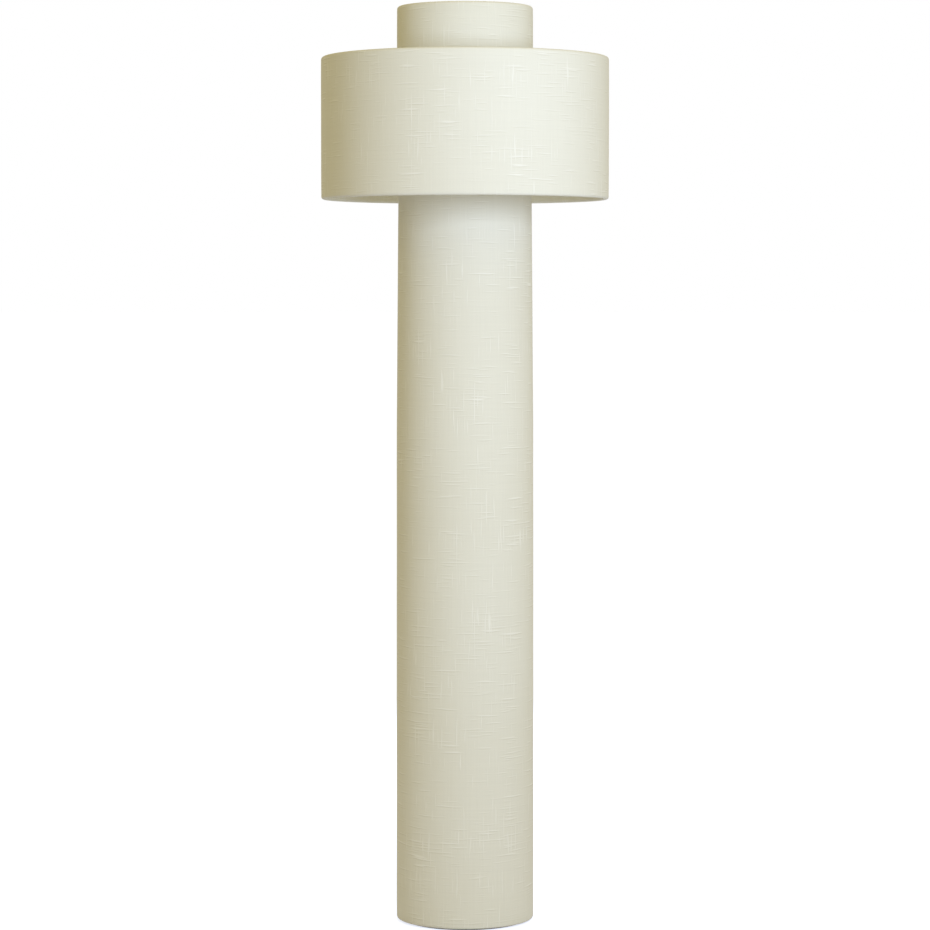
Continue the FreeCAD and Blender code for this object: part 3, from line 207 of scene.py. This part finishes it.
waves = add(cast_iron, "Bump", {"Height": swell.outputs[0], "Strength": 0.3, "Distance": 0.002})
grain = add(cast_iron, "Bump", {
    "Height": sand.outputs[0], "Strength": 0.55, "Distance": 0.0005, "Normal": waves.outputs[0]})
surface = add(cast_iron, "BsdfPrincipled", {
    "Base Color": worn.outputs[2], "Roughness": gloss.outputs[0], "IOR": 1.5,
    "Normal": grain.outputs[0]})
add(cast_iron, "OutputMaterial", {"Surface": surface.outputs[0]})
give(cast_iron, "base_plate")

# Zinc-plated steel: cool grey metal, slightly clouded by the passivation, with fine turning marks.
zinc = new_finish("zinc_plated_steel")
where = add(zinc, "TexCoord").outputs["Object"]
clouds = add(zinc, "TexNoise", {"Vector": where, "Scale": 160.0, "Detail": 3.0})
plating = add(zinc, "Mix", {0: clouds.outputs[0], 6: linear("#A9AEB2"), 7: linear("#C2BDB1")},
              data_type="RGBA")
rough = add(zinc, "MapRange", {"Value": clouds.outputs[0], 1: 0.3, 2: 0.7, 3: 0.26, 4: 0.44})
turned = add(zinc, "Mapping", {"Vector": where, "Scale": (120.0, 120.0, 5200.0)})
marks = add(zinc, "TexNoise", {"Vector": turned.outputs[0], "Scale": 1.0, "Detail": 2.0})
ridges = add(zinc, "Bump", {"Height": marks.outputs[0], "Strength": 0.25, "Distance": 0.00008})
surface = add(zinc, "BsdfPrincipled", {
    "Base Color": plating.outputs[2], "Metallic": 1.0, "Roughness": rough.outputs[0],
    "Normal": ridges.outputs[0]})
add(zinc, "OutputMaterial", {"Surface": surface.outputs[0]})
give(zinc, "base_bolt", "base_washer", "pole_coupler", "lamp_tube", "column_locknut")

# ---------------------------------------------------------------------------------------------
# The pole: two lengths of 25 mm steel tube on a flanged foot, joined by a coupler and closed by a
# cap, powder coated. A moulded bushing lines the way out for the mains lead.
# ---------------------------------------------------------------------------------------------

# Satin powder coat: off-white, with an orange peel of about 1.5 mm and a little wear.
powder = new_finish("satin_powder_coat")
where = add(powder, "TexCoord").outputs["Object"]
peel = add(powder, "TexNoise", {"Vector": where, "Scale": 650.0, "Detail": 1.5})
drift = add(powder, "TexNoise", {"Vector": where, "Scale": 12.0, "Detail": 3.0})
specks = add(powder, "TexNoise", {"Vector": where, "Scale": 420.0, "Detail": 3.0, "Roughness": 0.6})
speck = add(powder, "MapRange", {"Value": specks.outputs[0], 1: 0.70, 2: 0.73})
coat = add(powder, "Mix", {0: drift.outputs[0], 6: linear("#DCDAD2"), 7: linear("#E9E8E2")},
           data_type="RGBA")
flecked = add(powder, "Mix", {0: speck.outputs[0], 6: coat.outputs[2], 7: linear("#B9B6AC")},
              data_type="RGBA")
peeled = add(powder, "Bump", {"Height": peel.outputs[0], "Strength": 0.2, "Distance": 0.0002})
surface = add(powder, "BsdfPrincipled", {
    "Base Color": flecked.outputs[2], "Roughness": 0.38, "IOR": 1.5, "Normal": peeled.outputs[0]})
add(powder, "OutputMaterial", {"Surface": surface.outputs[0]})
give(powder, "pole_foot", "pole_lower", "pole_upper", "pole_cap")

# Phenolic moulding: black, half glossy, with a faint flow mottle and a fine moulded grain.
phenolic = new_finish("black_phenolic_moulding")
where = add(phenolic, "TexCoord").outputs["Object"]
flow = add(phenolic, "TexNoise", {"Vector": where, "Scale": 90.0, "Detail": 5.0, "Distortion": 1.2})
mottle = add(phenolic, "Mix", {0: flow.outputs[0], 6: linear("#161413"), 7: linear("#2B2624")},
             data_type="RGBA")
fine = add(phenolic, "TexNoise", {"Vector": where, "Scale": 2600.0, "Detail": 2.0})
dull = add(phenolic, "MapRange", {"Value": flow.outputs[0], 1: 0.3, 2: 0.7, 3: 0.28, 4: 0.46})
moulded = add(phenolic, "Bump", {"Height": fine.outputs[0], "Strength": 0.2, "Distance": 0.0001})
surface = add(phenolic, "BsdfPrincipled", {
    "Base Color": mottle.outputs[2], "Roughness": dull.outputs[0], "IOR": 1.6,
    "Normal": moulded.outputs[0]})
add(phenolic, "OutputMaterial", {"Surface": surface.outputs[0]})
give(phenolic, "outlet_bushing", "switch_block", "bulb_tip", "switch_knob")

# ---------------------------------------------------------------------------------------------
# The column's wire work: a ring in the lower hem, and a ring with three bent arms and a hub in
# the upper one. The wire is welded, then powder coated white.
# ---------------------------------------------------------------------------------------------

# White enamel on wire: glossier than the pole, a little thick and yellow where it pooled.
wire_enamel = new_finish("white_wire_enamel")
where = add(wire_enamel, "TexCoord").outputs["Object"]
pool = add(wire_enamel, "TexNoise", {"Vector": where, "Scale": 38.0, "Detail": 3.0})
ripple = add(wire_enamel, "TexNoise", {"Vector": where, "Scale": 480.0, "Detail": 2.0})
enamel = add(wire_enamel, "Mix", {0: pool.outputs[0], 6: linear("#E4E1D6"), 7: linear("#F0EFEA")},
             data_type="RGBA")
sheen = add(wire_enamel, "MapRange", {"Value": pool.outputs[0], 1: 0.3, 2: 0.7, 3: 0.26, 4: 0.4})
rippled = add(wire_enamel, "Bump", {
    "Height": ripple.outputs[0], "Strength": 0.3, "Distance": 0.0004})
surface = add(wire_enamel, "BsdfPrincipled", {
    "Base Color": enamel.outputs[2], "Roughness": sheen.outputs[0], "IOR": 1.5,
    "Normal": rippled.outputs[0]})
add(wire_enamel, "OutputMaterial", {"Surface": surface.outputs[0]})
give(wire_enamel, "column_bottom_ring", "column_spider")

# ---------------------------------------------------------------------------------------------
# The column's backing: a white sheet of shade styrene, 0.9 mm, laminated to the inside of the
# linen and rolled up with it.
# ---------------------------------------------------------------------------------------------

# Shade backing: matt white plastic sheet with a calendered grain, and faint roll marks up its
# length.
styrene = new_finish("matt_shade_styrene")
where = add(styrene, "TexCoord").outputs["Object"]
calender = add(styrene, "TexNoise", {"Vector": where, "Scale": 1500.0, "Detail": 2.0})
broad = add(styrene, "Mapping", {"Vector": where, "Scale": (26.0, 26.0, 4.0)})
bands = add(styrene, "TexNoise", {"Vector": broad.outputs[0], "Scale": 1.0, "Detail": 3.0})
sheet_tone = add(styrene, "Mix", {0: bands.outputs[0], 6: linear("#E1E0DA"), 7: linear("#EAE9E4")},
                 data_type="RGBA")
pebble = add(styrene, "Bump", {
    "Height": calender.outputs[0], "Strength": 0.25, "Distance": 0.00015})
surface = add(styrene, "BsdfPrincipled", {
    "Base Color": sheet_tone.outputs[2], "Roughness": 0.55, "IOR": 1.55,
    "Normal": pebble.outputs[0]})
add(styrene, "OutputMaterial", {"Surface": surface.outputs[0]})
give(styrene, "column_liner", "drum_liner", "collar_liner")

# ---------------------------------------------------------------------------------------------
# The column's linen: one strip of slub linen, glued to the backing, wrapped once round and lapped
# at the back. Each edge is rolled over its ring and turned in 14 mm.
# ---------------------------------------------------------------------------------------------

# The linen's thickness, the radius of its hems, the faces round a hem, and how far an edge is
# turned in. The turned-in layer lies two hem radii deep, and what is deeper than OUTER_LAYER is
# left even.
LINEN = 0.0008
HEM = 0.0038
HEM_STEPS = 10
TURN_IN = 0.014
OUTER_LAYER = 1.9 * HEM

# The lap, and where along the strip its end climbs onto its start, and how high.
LAP = 0.010
CLIMB_BEFORE = 0.016
CLIMB_LENGTH = 0.012
CLIMB = 0.0009

# How uneven the glued linen is, how far from a hem that starts, and its waves in a metre.
UNEVEN = 0.0004
CALM_EDGE = 0.03
WAVES_ROUND = 9
WAVES_UP = 7

# Half the width of an arm's slit, where the arms are in degrees, and how far beside and above or
# below an arm its cuts reach. Past CREASE an edge of the cloth shows sharp.
SLIT = 0.00265
ARM_TURNS = (90.0, 210.0, 330.0)
CUT_BESIDE = 0.02
CUT_LEVEL = 0.016
CREASE = math.radians(50)


def cut_out(strip, near, planes):
    """Cuts the faces that near picks along some planes, each a point on it and the way out, and
    takes away what lies inside them all."""
    for point, way in planes:
        faces = [face for face in strip.faces if near(face)]
        edges = {edge for face in faces for edge in face.edges}
        points = {corner for face in faces for corner in face.verts}
        bmesh.ops.bisect_plane(strip, geom=faces + list(edges) + list(points),
                               plane_co=point, plane_no=way)
    lost = [face for face in strip.faces if near(face)
            and all((face.calc_center_median() - point).dot(way) < 0 for point, way in planes)]
    bmesh.ops.delete(strip, geom=lost, context="FACES")


def wrap_linen(wall, row, steps, seam, bolt, arms, through=False):
    """One strip of linen in its place, and its flat size. wall holds the outer radius and the
    height of the middle of the lower hem, of each change of slope and of the middle of the upper
    hem. row is the height of a row of the mesh, and steps is how many faces go round. seam is where
    the lap starts, in degrees, and bolt is the strip's place on the bolt of cloth. arms is the
    height of the wires that pass a hem, and through says that they pass the whole hem and not only
    its turn-in."""
    strip = bmesh.new()
    run = strip.verts.layers.float.new("run")

    def on(vertex, radius, height):
        ahead = bmesh.ops.extrude_vert_indiv(strip, verts=[vertex])["verts"][0]
        ahead.co = (radius, 0.0, height)
        return ahead

    def roll(vertex, middle):
        return bmesh.ops.spin(strip, geom=[vertex], cent=(middle[0] - HEM, 0.0, middle[1]),
                              axis=(0.0, -1.0, 0.0), angle=math.pi, steps=HEM_STEPS)["geom_last"][0]

    low, high = wall[0], wall[-1]
    start = strip.verts.new((low[0] - 2 * HEM, 0.0, low[1] + TURN_IN - HEM))
    tip = roll(on(start, low[0] - 2 * HEM, low[1]), low)
    for (foot_radius, foot), (head_radius, head) in zip(wall, wall[1:]):
        rows = max(1, round((head - foot) / row))
        for step in range(1, rows + 1):
            tip = on(tip, foot_radius + (head_radius - foot_radius) * step / rows,
                     foot + (head - foot) * step / rows)
    on(roll(tip, high), high[0] - 2 * HEM, high[1] - TURN_IN + HEM)

    length, at, behind = 0.0, start, None
    while True:
        at[run] = length
        ahead = [edge for edge in at.link_edges if edge is not behind]
        if not ahead:
            break
        behind = ahead[0]
        length += behind.calc_length()
        at = behind.other_vert(at)

    chain = len(strip.verts)
    width = 2 * math.pi * low[0] + LAP
    turn = width / low[0]
    bmesh.ops.rotate(strip, verts=strip.verts, matrix=Matrix.Rotation(math.radians(seam), 3, "Z"))
    bmesh.ops.spin(strip, geom=strip.verts[:] + strip.edges[:], cent=(0.0, 0.0, 0.0),
                   axis=(0.0, 0.0, 1.0), angle=turn, steps=steps)
    strip.verts.index_update()
    bmesh.ops.recalc_face_normals(strip, faces=strip.faces)
    facing = max(strip.faces, key=lambda face: face.calc_area())
    middle = facing.calc_center_median()
    if facing.normal.dot(Vector((middle.x, middle.y, 0.0))) < 0:
        bmesh.ops.reverse_faces(strip, faces=strip.faces)
    strip.normal_update()

    pattern = strip.loops.layers.uv.new("cloth")
    for face in strip.faces:
        for corner in face.loops:
            along = corner.vert.index // chain * width / steps
            corner[pattern].uv = (bolt[0] + along, bolt[1] + corner.vert[run])
    lifts = []
    for vertex in strip.verts:
        spot = vertex.co
        along = vertex.index // chain * width / steps
        climbed = min(1.0, max(0.0, (along - (width - LAP - CLIMB_BEFORE)) / CLIMB_LENGTH))
        inside = min(spot.z - low[1], high[1] - spot.z)
        calm = min(1.0, max(0.0, inside / CALM_EDGE))
        swell = noise.noise(Vector((spot.x * WAVES_ROUND, spot.y * WAVES_ROUND,
                                    spot.z * WAVES_UP + bolt[1])))
        outer = spot.to_2d().length > low[0] - OUTER_LAYER
        proud = (0.5 + 0.5 * swell) * calm * UNEVEN if outer else 0.0
        outward = Vector((spot.x, spot.y, 0.0)).normalized()
        lifts.append((vertex, vertex.normal * (climbed * CLIMB) + outward * proud))
    for vertex, lift in lifts:
        vertex.co += lift

    for degrees in ARM_TURNS:
        reach = Vector((math.cos(math.radians(degrees)), math.sin(math.radians(degrees)), 0.0))
        across = Vector((-reach.y, reach.x, 0.0))

        def near(face):
            spot = face.calc_center_median()
            beside = abs(spot.dot(across)) < CUT_BESIDE and spot.dot(reach) > 0
            level = abs(spot.z - arms) < CUT_LEVEL
            return beside and level and (through or spot.to_2d().length < high[0] - HEM)

        cut_out(strip, near, ((across * SLIT, across), (across * -SLIT, -across),
                              (Vector((0.0, 0.0, arms + SLIT)), Vector((0.0, 0.0, 1.0)))))
    return strip, (width, length)


def finish_linen(name, strip, body, node):
    """Gives the strip its thickness, and makes it a piece that stands for its plain solid."""
    bmesh.ops.solidify(strip, geom=strip.faces[:], thickness=LINEN)
    for edge in strip.edges:
        edge.smooth = edge.calc_face_angle(0.0) < CREASE
    for face in strip.faces:
        face.smooth = True
    mesh = bpy.data.meshes.new(name)
    strip.to_mesh(mesh)
    strip.free()
    mesh.materials.append(linen)
    piece = bpy.data.objects.new(name, mesh)
    bpy.context.collection.objects.link(piece)
    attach(piece, body)
    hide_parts(node)


# Slub linen: warm off-white, dry and matt, a plain weave of uneven yarns. Thick places in the yarn
# stand out as pale dashes, 10 to 45 mm long and 1 to 2 mm thick, in loose patches, each with a thin
# painted shade under it, as if lit from above. The yarns lie about 0.6 mm apart, too fine to show
# from where the camera stands, so the weave is drawn at 1.2 mm. The pattern lies on the cloth's own
# map, in metres.
linen = new_finish("slub_linen")
place = add(linen, "UVMap", uv_map="cloth").outputs[0]
wander = add(linen, "TexNoise", {"Vector": place, "Scale": 22.0, "Detail": 2.0},
             noise_dimensions="2D")
centred = add(linen, "VectorMath", {0: wander.outputs["Color"], 1: (0.5, 0.5, 0.5)},
              operation="SUBTRACT")
bent = add(linen, "VectorMath", {0: centred.outputs[0], 1: (0.0016, 0.0016, 0.0), 2: place},
           operation="MULTIPLY_ADD").outputs[0]
patch = add(linen, "TexNoise", {"Vector": place, "Scale": 9.0, "Detail": 2.0},
            noise_dimensions="2D")


def slubs(shift, density, thin, thick):
    """How much of a thick place of the yarn is at each point. density is how many thick places
    start in a metre along each way of the cloth, and thin to thick how they fade in."""
    lying = add(linen, "Mapping", {"Vector": bent, "Location": shift, "Scale": density})
    thickness = add(linen, "TexNoise", {"Vector": lying.outputs[0], "Scale": 1.0, "Detail": 1.0,
                                        "Roughness": 0.4}, noise_dimensions="2D")
    crowd = add(linen, "Math", {0: patch.outputs[0], 1: 0.3, 2: thickness.outputs[0]},
                operation="MULTIPLY_ADD")
    return add(linen, "MapRange", {"Value": crowd.outputs[0], 1: thin, 2: thick}).outputs[0]


WEFT_DENSITY = (17.0, 320.0, 1.0)
WARP_DENSITY = (330.0, 15.0, 1.0)
WEFT_FADE = (0.81, 0.96)
WARP_FADE = (0.84, 0.99)
SLUB_SHADE_DROP = 0.0016
weft_slub = slubs((0.0, 0.0, 0.0), WEFT_DENSITY, *WEFT_FADE)
# Painted shade: the weft slubs again, moved 1.6 mm down the cloth, mark a thin shade under each
# slub, as if the light fell from above.
slub_shade = slubs((0.0, SLUB_SHADE_DROP * WEFT_DENSITY[1], 0.0), WEFT_DENSITY, *WEFT_FADE)
warp_slub = slubs((7.3, 4.1, 0.0), WARP_DENSITY, *WARP_FADE)
pale = add(linen, "Math", {0: weft_slub, 1: warp_slub}, operation="MAXIMUM").outputs[0]

# Between the slubs each yarn has its own tone, and the whole cloth drifts a little.
YARN_DENSITIES = ((6.0, 300.0, 1.0), (300.0, 6.0, 1.0))
tones = []
for density in YARN_DENSITIES:
    drawn = add(linen, "Mapping", {"Vector": bent, "Scale": density})
    tones.append(add(linen, "TexNoise", {"Vector": drawn.outputs[0], "Scale": 1.0, "Detail": 2.0},
                     noise_dimensions="2D").outputs[0])
yarns = add(linen, "Math", {0: tones[0], 1: tones[1]}, operation="ADD").outputs[0]
drift = add(linen, "TexNoise", {"Vector": place, "Scale": 3.5, "Detail": 2.0},
            noise_dimensions="2D")
plain = add(linen, "Mix", {0: drift.outputs[0], 6: linear("#E8E3CF"), 7: linear("#ECE8D6")},
            data_type="RGBA")
yarn_tone = add(linen, "MapRange", {"Value": yarns, 1: 0.6, 2: 1.4, 3: 0.985, 4: 1.015})
woven = add(linen, "VectorMath", {0: plain.outputs[2], "Scale": yarn_tone.outputs[0]},
            operation="SCALE")
# The painted shade under each slub darkens the cloth toward #DAD4BD.
slub_shade_depth = add(linen, "Math", {0: slub_shade, 1: 0.55}, operation="MULTIPLY")
slub_shaded = add(linen, "Mix", {0: slub_shade_depth.outputs[0], 6: woven.outputs[0], 7: linear("#DAD4BD")},
               data_type="RGBA")
slubbed = add(linen, "Mix", {0: pale, 6: slub_shaded.outputs[2], 7: linear("#F4F0E0")},
              data_type="RGBA")

# The relief of the weave, and over it that of the slubs.
WEAVE_PITCH = 0.0012
WEAVE = 2 * math.pi / WEAVE_PITCH
ribs = add(linen, "Mapping", {"Vector": bent, "Scale": (WEAVE, WEAVE, 0.0)})
ways = add(linen, "SeparateXYZ", {0: ribs.outputs[0]})
over = add(linen, "Math", {0: ways.outputs[0]}, operation="SINE")
under = add(linen, "Math", {0: ways.outputs[1]}, operation="SINE")
crossing = add(linen, "Math", {0: over.outputs[0], 1: under.outputs[0]}, operation="MULTIPLY")
weave = add(linen, "Math", {0: crossing.outputs[0], 1: 0.15, 2: yarns}, operation="MULTIPLY_ADD")
rib_relief = add(linen, "Bump", {"Height": weave.outputs[0], "Strength": 0.2, "Distance": 0.0002})
slub_relief = add(linen, "Bump", {
    "Height": pale, "Strength": 0.5, "Distance": 0.0004, "Normal": rib_relief.outputs[0]})
cloth = add(linen, "BsdfPrincipled", {
    "Base Color": slubbed.outputs[2], "Roughness": 0.9, "IOR": 1.45, "Specular IOR Level": 0.25,
    "Sheen Weight": 0.06, "Sheen Roughness": 0.5, "Normal": slub_relief.outputs[0]})
add(linen, "OutputMaterial", {"Surface": cloth.outputs[0]})

# The column's height above the floor, and its outer radius at the foot, at the waist and on top.
COLUMN_FOOT = 0.003
COLUMN_WAIST = 0.880
COLUMN_TOP = 1.328
FOOT_RADIUS = 0.1205
WAIST_RADIUS = 0.1194
TOP_RADIUS = 0.1158
strip, flat = wrap_linen(
    [(FOOT_RADIUS, COLUMN_FOOT + HEM), (WAIST_RADIUS, COLUMN_WAIST),
     (TOP_RADIUS, COLUMN_TOP - HEM)],
    row=0.013, steps=150, seam=103.0, bolt=(0.0, 0.0), arms=COLUMN_TOP - HEM)

# The hole for the neck of the grommet at the back: eight straight cuts, which its flange hides.
NECK = Vector((0.0, 0.0, 0.046))
NECK_HOLE = 0.0068
AROUND = 0.02
sides = [Vector((math.cos(math.radians(turn)), 0.0, math.sin(math.radians(turn))))
         for turn in range(0, 360, 45)]


def by_the_neck(face):
    """Whether a face of the column's linen lies round the grommet."""
    spot = face.calc_center_median() - NECK
    return abs(spot.x) < AROUND and abs(spot.z) < AROUND and spot.y > 0


cut_out(strip, by_the_neck, [(NECK + side * NECK_HOLE, side) for side in sides])
finish_linen("column_linen", strip, "root", "column_skin")

# ---------------------------------------------------------------------------------------------
# The grommet: soft grey-white rubber, low in the back of the column, for the mains lead. Its two
# flanges hold the edge of the hole between them.
# ---------------------------------------------------------------------------------------------

# Moulded rubber: pale grey, dull, faintly dusty.
rubber = new_finish("pale_moulded_rubber")
where = add(rubber, "TexCoord").outputs["Object"]
bloom = add(rubber, "TexNoise", {"Vector": where, "Scale": 240.0, "Detail": 4.0})
dusty = add(rubber, "Mix", {0: bloom.outputs[0], 6: linear("#D2CEC2"), 7: linear("#E2DFD6")},
            data_type="RGBA")
moulding = add(rubber, "TexNoise", {"Vector": where, "Scale": 3000.0, "Detail": 2.0})
texture = add(rubber, "Bump", {"Height": moulding.outputs[0], "Strength": 0.3, "Distance": 0.0001})
surface = add(rubber, "BsdfPrincipled", {
    "Base Color": dusty.outputs[2], "Roughness": 0.72, "IOR": 1.52, "Normal": texture.outputs[0]})
add(rubber, "OutputMaterial", {"Surface": surface.outputs[0]})
give(rubber, "cord_grommet")

# ---------------------------------------------------------------------------------------------
# The harp: a saddle of bent strip, a bent wire with its stud, and two ferrules that lock it on,
# all nickel plated and brushed satin. The finial, which holds the hat, has the same finish.
# ---------------------------------------------------------------------------------------------

# Satin nickel: warm pale metal, brushed, so its gloss is broken by fine hairlines.
nickel = new_finish("satin_nickel")
where = add(nickel, "TexCoord").outputs["Object"]
brushed = add(nickel, "Mapping", {"Vector": where, "Scale": (900.0, 900.0, 7000.0)})
hairs = add(nickel, "TexNoise", {"Vector": brushed.outputs[0], "Scale": 1.0, "Detail": 3.0})
breath = add(nickel, "TexNoise", {"Vector": where, "Scale": 75.0, "Detail": 3.0})
plate = add(nickel, "Mix", {0: breath.outputs[0], 6: linear("#AEA79B"), 7: linear("#C4BDB1")},
            data_type="RGBA")
satin = add(nickel, "MapRange", {"Value": hairs.outputs[0], 1: 0.3, 2: 0.7, 3: 0.24, 4: 0.4})
lines = add(nickel, "Bump", {"Height": hairs.outputs[0], "Strength": 0.2, "Distance": 0.00005})
surface = add(nickel, "BsdfPrincipled", {
    "Base Color": plate.outputs[2], "Metallic": 1.0, "Roughness": satin.outputs[0],
    "Normal": lines.outputs[0]})
add(nickel, "OutputMaterial", {"Surface": surface.outputs[0]})
give(nickel, "harp_saddle", "harp", "harp_stud", "harp_ferrule_left", "harp_ferrule_right",
     "finial")

# ---------------------------------------------------------------------------------------------
# The lamp holder: a drawn brass cap and shell with a card sleeve, a moulded switch block with its
# contact and turned spindle, and an aluminium screw shell.
# ---------------------------------------------------------------------------------------------

# Lacquered brass: drawn and bright, with tarnish starting in faint patches.
brass = new_finish("lacquered_drawn_brass")
where = add(brass, "TexCoord").outputs["Object"]
patches = add(brass, "TexNoise", {"Vector": where, "Scale": 110.0, "Detail": 5.0, "Roughness": 0.6})
drawn = add(brass, "Mapping", {"Vector": where, "Scale": (1500.0, 1500.0, 130.0)})
draws = add(brass, "TexNoise", {"Vector": drawn.outputs[0], "Scale": 1.0, "Detail": 2.0})
aged = add(brass, "Mix", {0: patches.outputs[0], 6: linear("#C9A25C"), 7: linear("#DDBD78")},
           data_type="RGBA")
lacquer = add(brass, "MapRange", {"Value": patches.outputs[0], 1: 0.3, 2: 0.7, 3: 0.34, 4: 0.22})
drag = add(brass, "Bump", {"Height": draws.outputs[0], "Strength": 0.15, "Distance": 0.00006})
surface = add(brass, "BsdfPrincipled", {
    "Base Color": aged.outputs[2], "Metallic": 1.0, "Roughness": lacquer.outputs[0],
    "Normal": drag.outputs[0]})
add(brass, "OutputMaterial", {"Surface": surface.outputs[0]})
give(brass, "socket_cap", "socket_shell", "centre_contact", "switch_spindle")

# Pressed fibre card: tan and dry, with short fibres of about 1 mm pressed into it.
card = new_finish("pressed_fibre_card")
where = add(card, "TexCoord").outputs["Object"]
pressed = add(card, "Mapping", {"Vector": where, "Scale": (420.0, 420.0, 1900.0)})
fibres = add(card, "TexNoise", {"Vector": pressed.outputs[0], "Scale": 1.0, "Detail": 4.0,
                                "Distortion": 1.5})
pulp = add(card, "Mix", {0: fibres.outputs[0], 6: linear("#A8906C"), 7: linear("#CDB894")},
           data_type="RGBA")
nap = add(card, "Bump", {"Height": fibres.outputs[0], "Strength": 0.3, "Distance": 0.0001})
surface = add(card, "BsdfPrincipled", {
    "Base Color": pulp.outputs[2], "Roughness": 0.85, "IOR": 1.47, "Normal": nap.outputs[0]})
add(card, "OutputMaterial", {"Surface": surface.outputs[0]})
give(card, "socket_sleeve")

# ---------------------------------------------------------------------------------------------
# The bulb: an opal glass globe on a rolled aluminium screw cap, with a moulded tip. It is screwed
# home in the lamp holder, and off.
# ---------------------------------------------------------------------------------------------

# Rolled aluminium: soft, pale, scuffed round from being screwed in and out.
aluminium = new_finish("rolled_aluminium")
where = add(aluminium, "TexCoord").outputs["Object"]
scuffed = add(aluminium, "Mapping", {"Vector": where, "Scale": (220.0, 220.0, 3800.0)})
scuffs = add(aluminium, "TexNoise", {"Vector": scuffed.outputs[0], "Scale": 1.0, "Detail": 4.0})
metal = add(aluminium, "Mix", {0: scuffs.outputs[0], 6: linear("#B6B7B9"), 7: linear("#D2D2D1")},
            data_type="RGBA")
polish = add(aluminium, "MapRange", {"Value": scuffs.outputs[0], 1: 0.3, 2: 0.7, 3: 0.25, 4: 0.48})
scored = add(aluminium, "Bump", {
    "Height": scuffs.outputs[0], "Strength": 0.25, "Distance": 0.00006})
surface = add(aluminium, "BsdfPrincipled", {
    "Base Color": metal.outputs[2], "Metallic": 1.0, "Roughness": polish.outputs[0],
    "Normal": scored.outputs[0]})
add(aluminium, "OutputMaterial", {"Surface": surface.outputs[0]})
give(aluminium, "screw_shell", "bulb_cap")

# Opal glass: milky white all through, smooth, with a very slight waviness from being blown.
opal = new_finish("blown_opal_glass")
where = add(opal, "TexCoord").outputs["Object"]
blown = add(opal, "TexNoise", {"Vector": where, "Scale": 34.0, "Detail": 1.0})
milk = add(opal, "Mix", {0: blown.outputs[0], 6: linear("#EDEBE4"), 7: linear("#F5F4EF")},
           data_type="RGBA")
gather = add(opal, "Bump", {"Height": blown.outputs[0], "Strength": 0.15, "Distance": 0.001})
surface = add(opal, "BsdfPrincipled", {
    "Base Color": milk.outputs[2], "Roughness": 0.16, "IOR": 1.5, "Subsurface Weight": 0.25,
    "Subsurface Radius": (0.004, 0.004, 0.0035), "Subsurface Scale": 1.0, "Coat Weight": 0.4,
    "Coat Roughness": 0.05, "Normal": gather.outputs[0]})
add(opal, "OutputMaterial", {"Surface": surface.outputs[0]})
give(opal, "bulb_globe")

# ---------------------------------------------------------------------------------------------
# The hat: a wire frame with three arms carries the drum by its upper ring and the collar by a
# lower ring welded across the arms. Drum and collar are linen on backing, hemmed as the column is.
# ---------------------------------------------------------------------------------------------

give(wire_enamel, "hat_spider", "drum_bottom_ring", "collar_top_ring")
DRUM_RADIUS = 0.250
DRUM_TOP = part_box("drum_skin")[1].z
DRUM_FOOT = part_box("drum_skin")[0].z
strip, flat = wrap_linen(
    [(DRUM_RADIUS, DRUM_FOOT + HEM), (DRUM_RADIUS, DRUM_TOP - HEM)],
    row=0.0065, steps=200, seam=97.0, bolt=(0.31, 1.6), arms=DRUM_TOP - HEM)
finish_linen("drum_linen", strip, "hat", "drum_skin")

COLLAR_RADIUS = 0.1175
COLLAR_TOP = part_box("collar_skin")[1].z
COLLAR_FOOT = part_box("collar_skin")[0].z
strip, flat = wrap_linen(
    [(COLLAR_RADIUS, COLLAR_FOOT + HEM), (COLLAR_RADIUS, COLLAR_TOP - HEM)],
    row=0.006, steps=150, seam=101.0, bolt=(0.12, 2.1), arms=COLLAR_FOOT + HEM, through=True)
finish_linen("collar_linen", strip, "hat", "collar_skin")
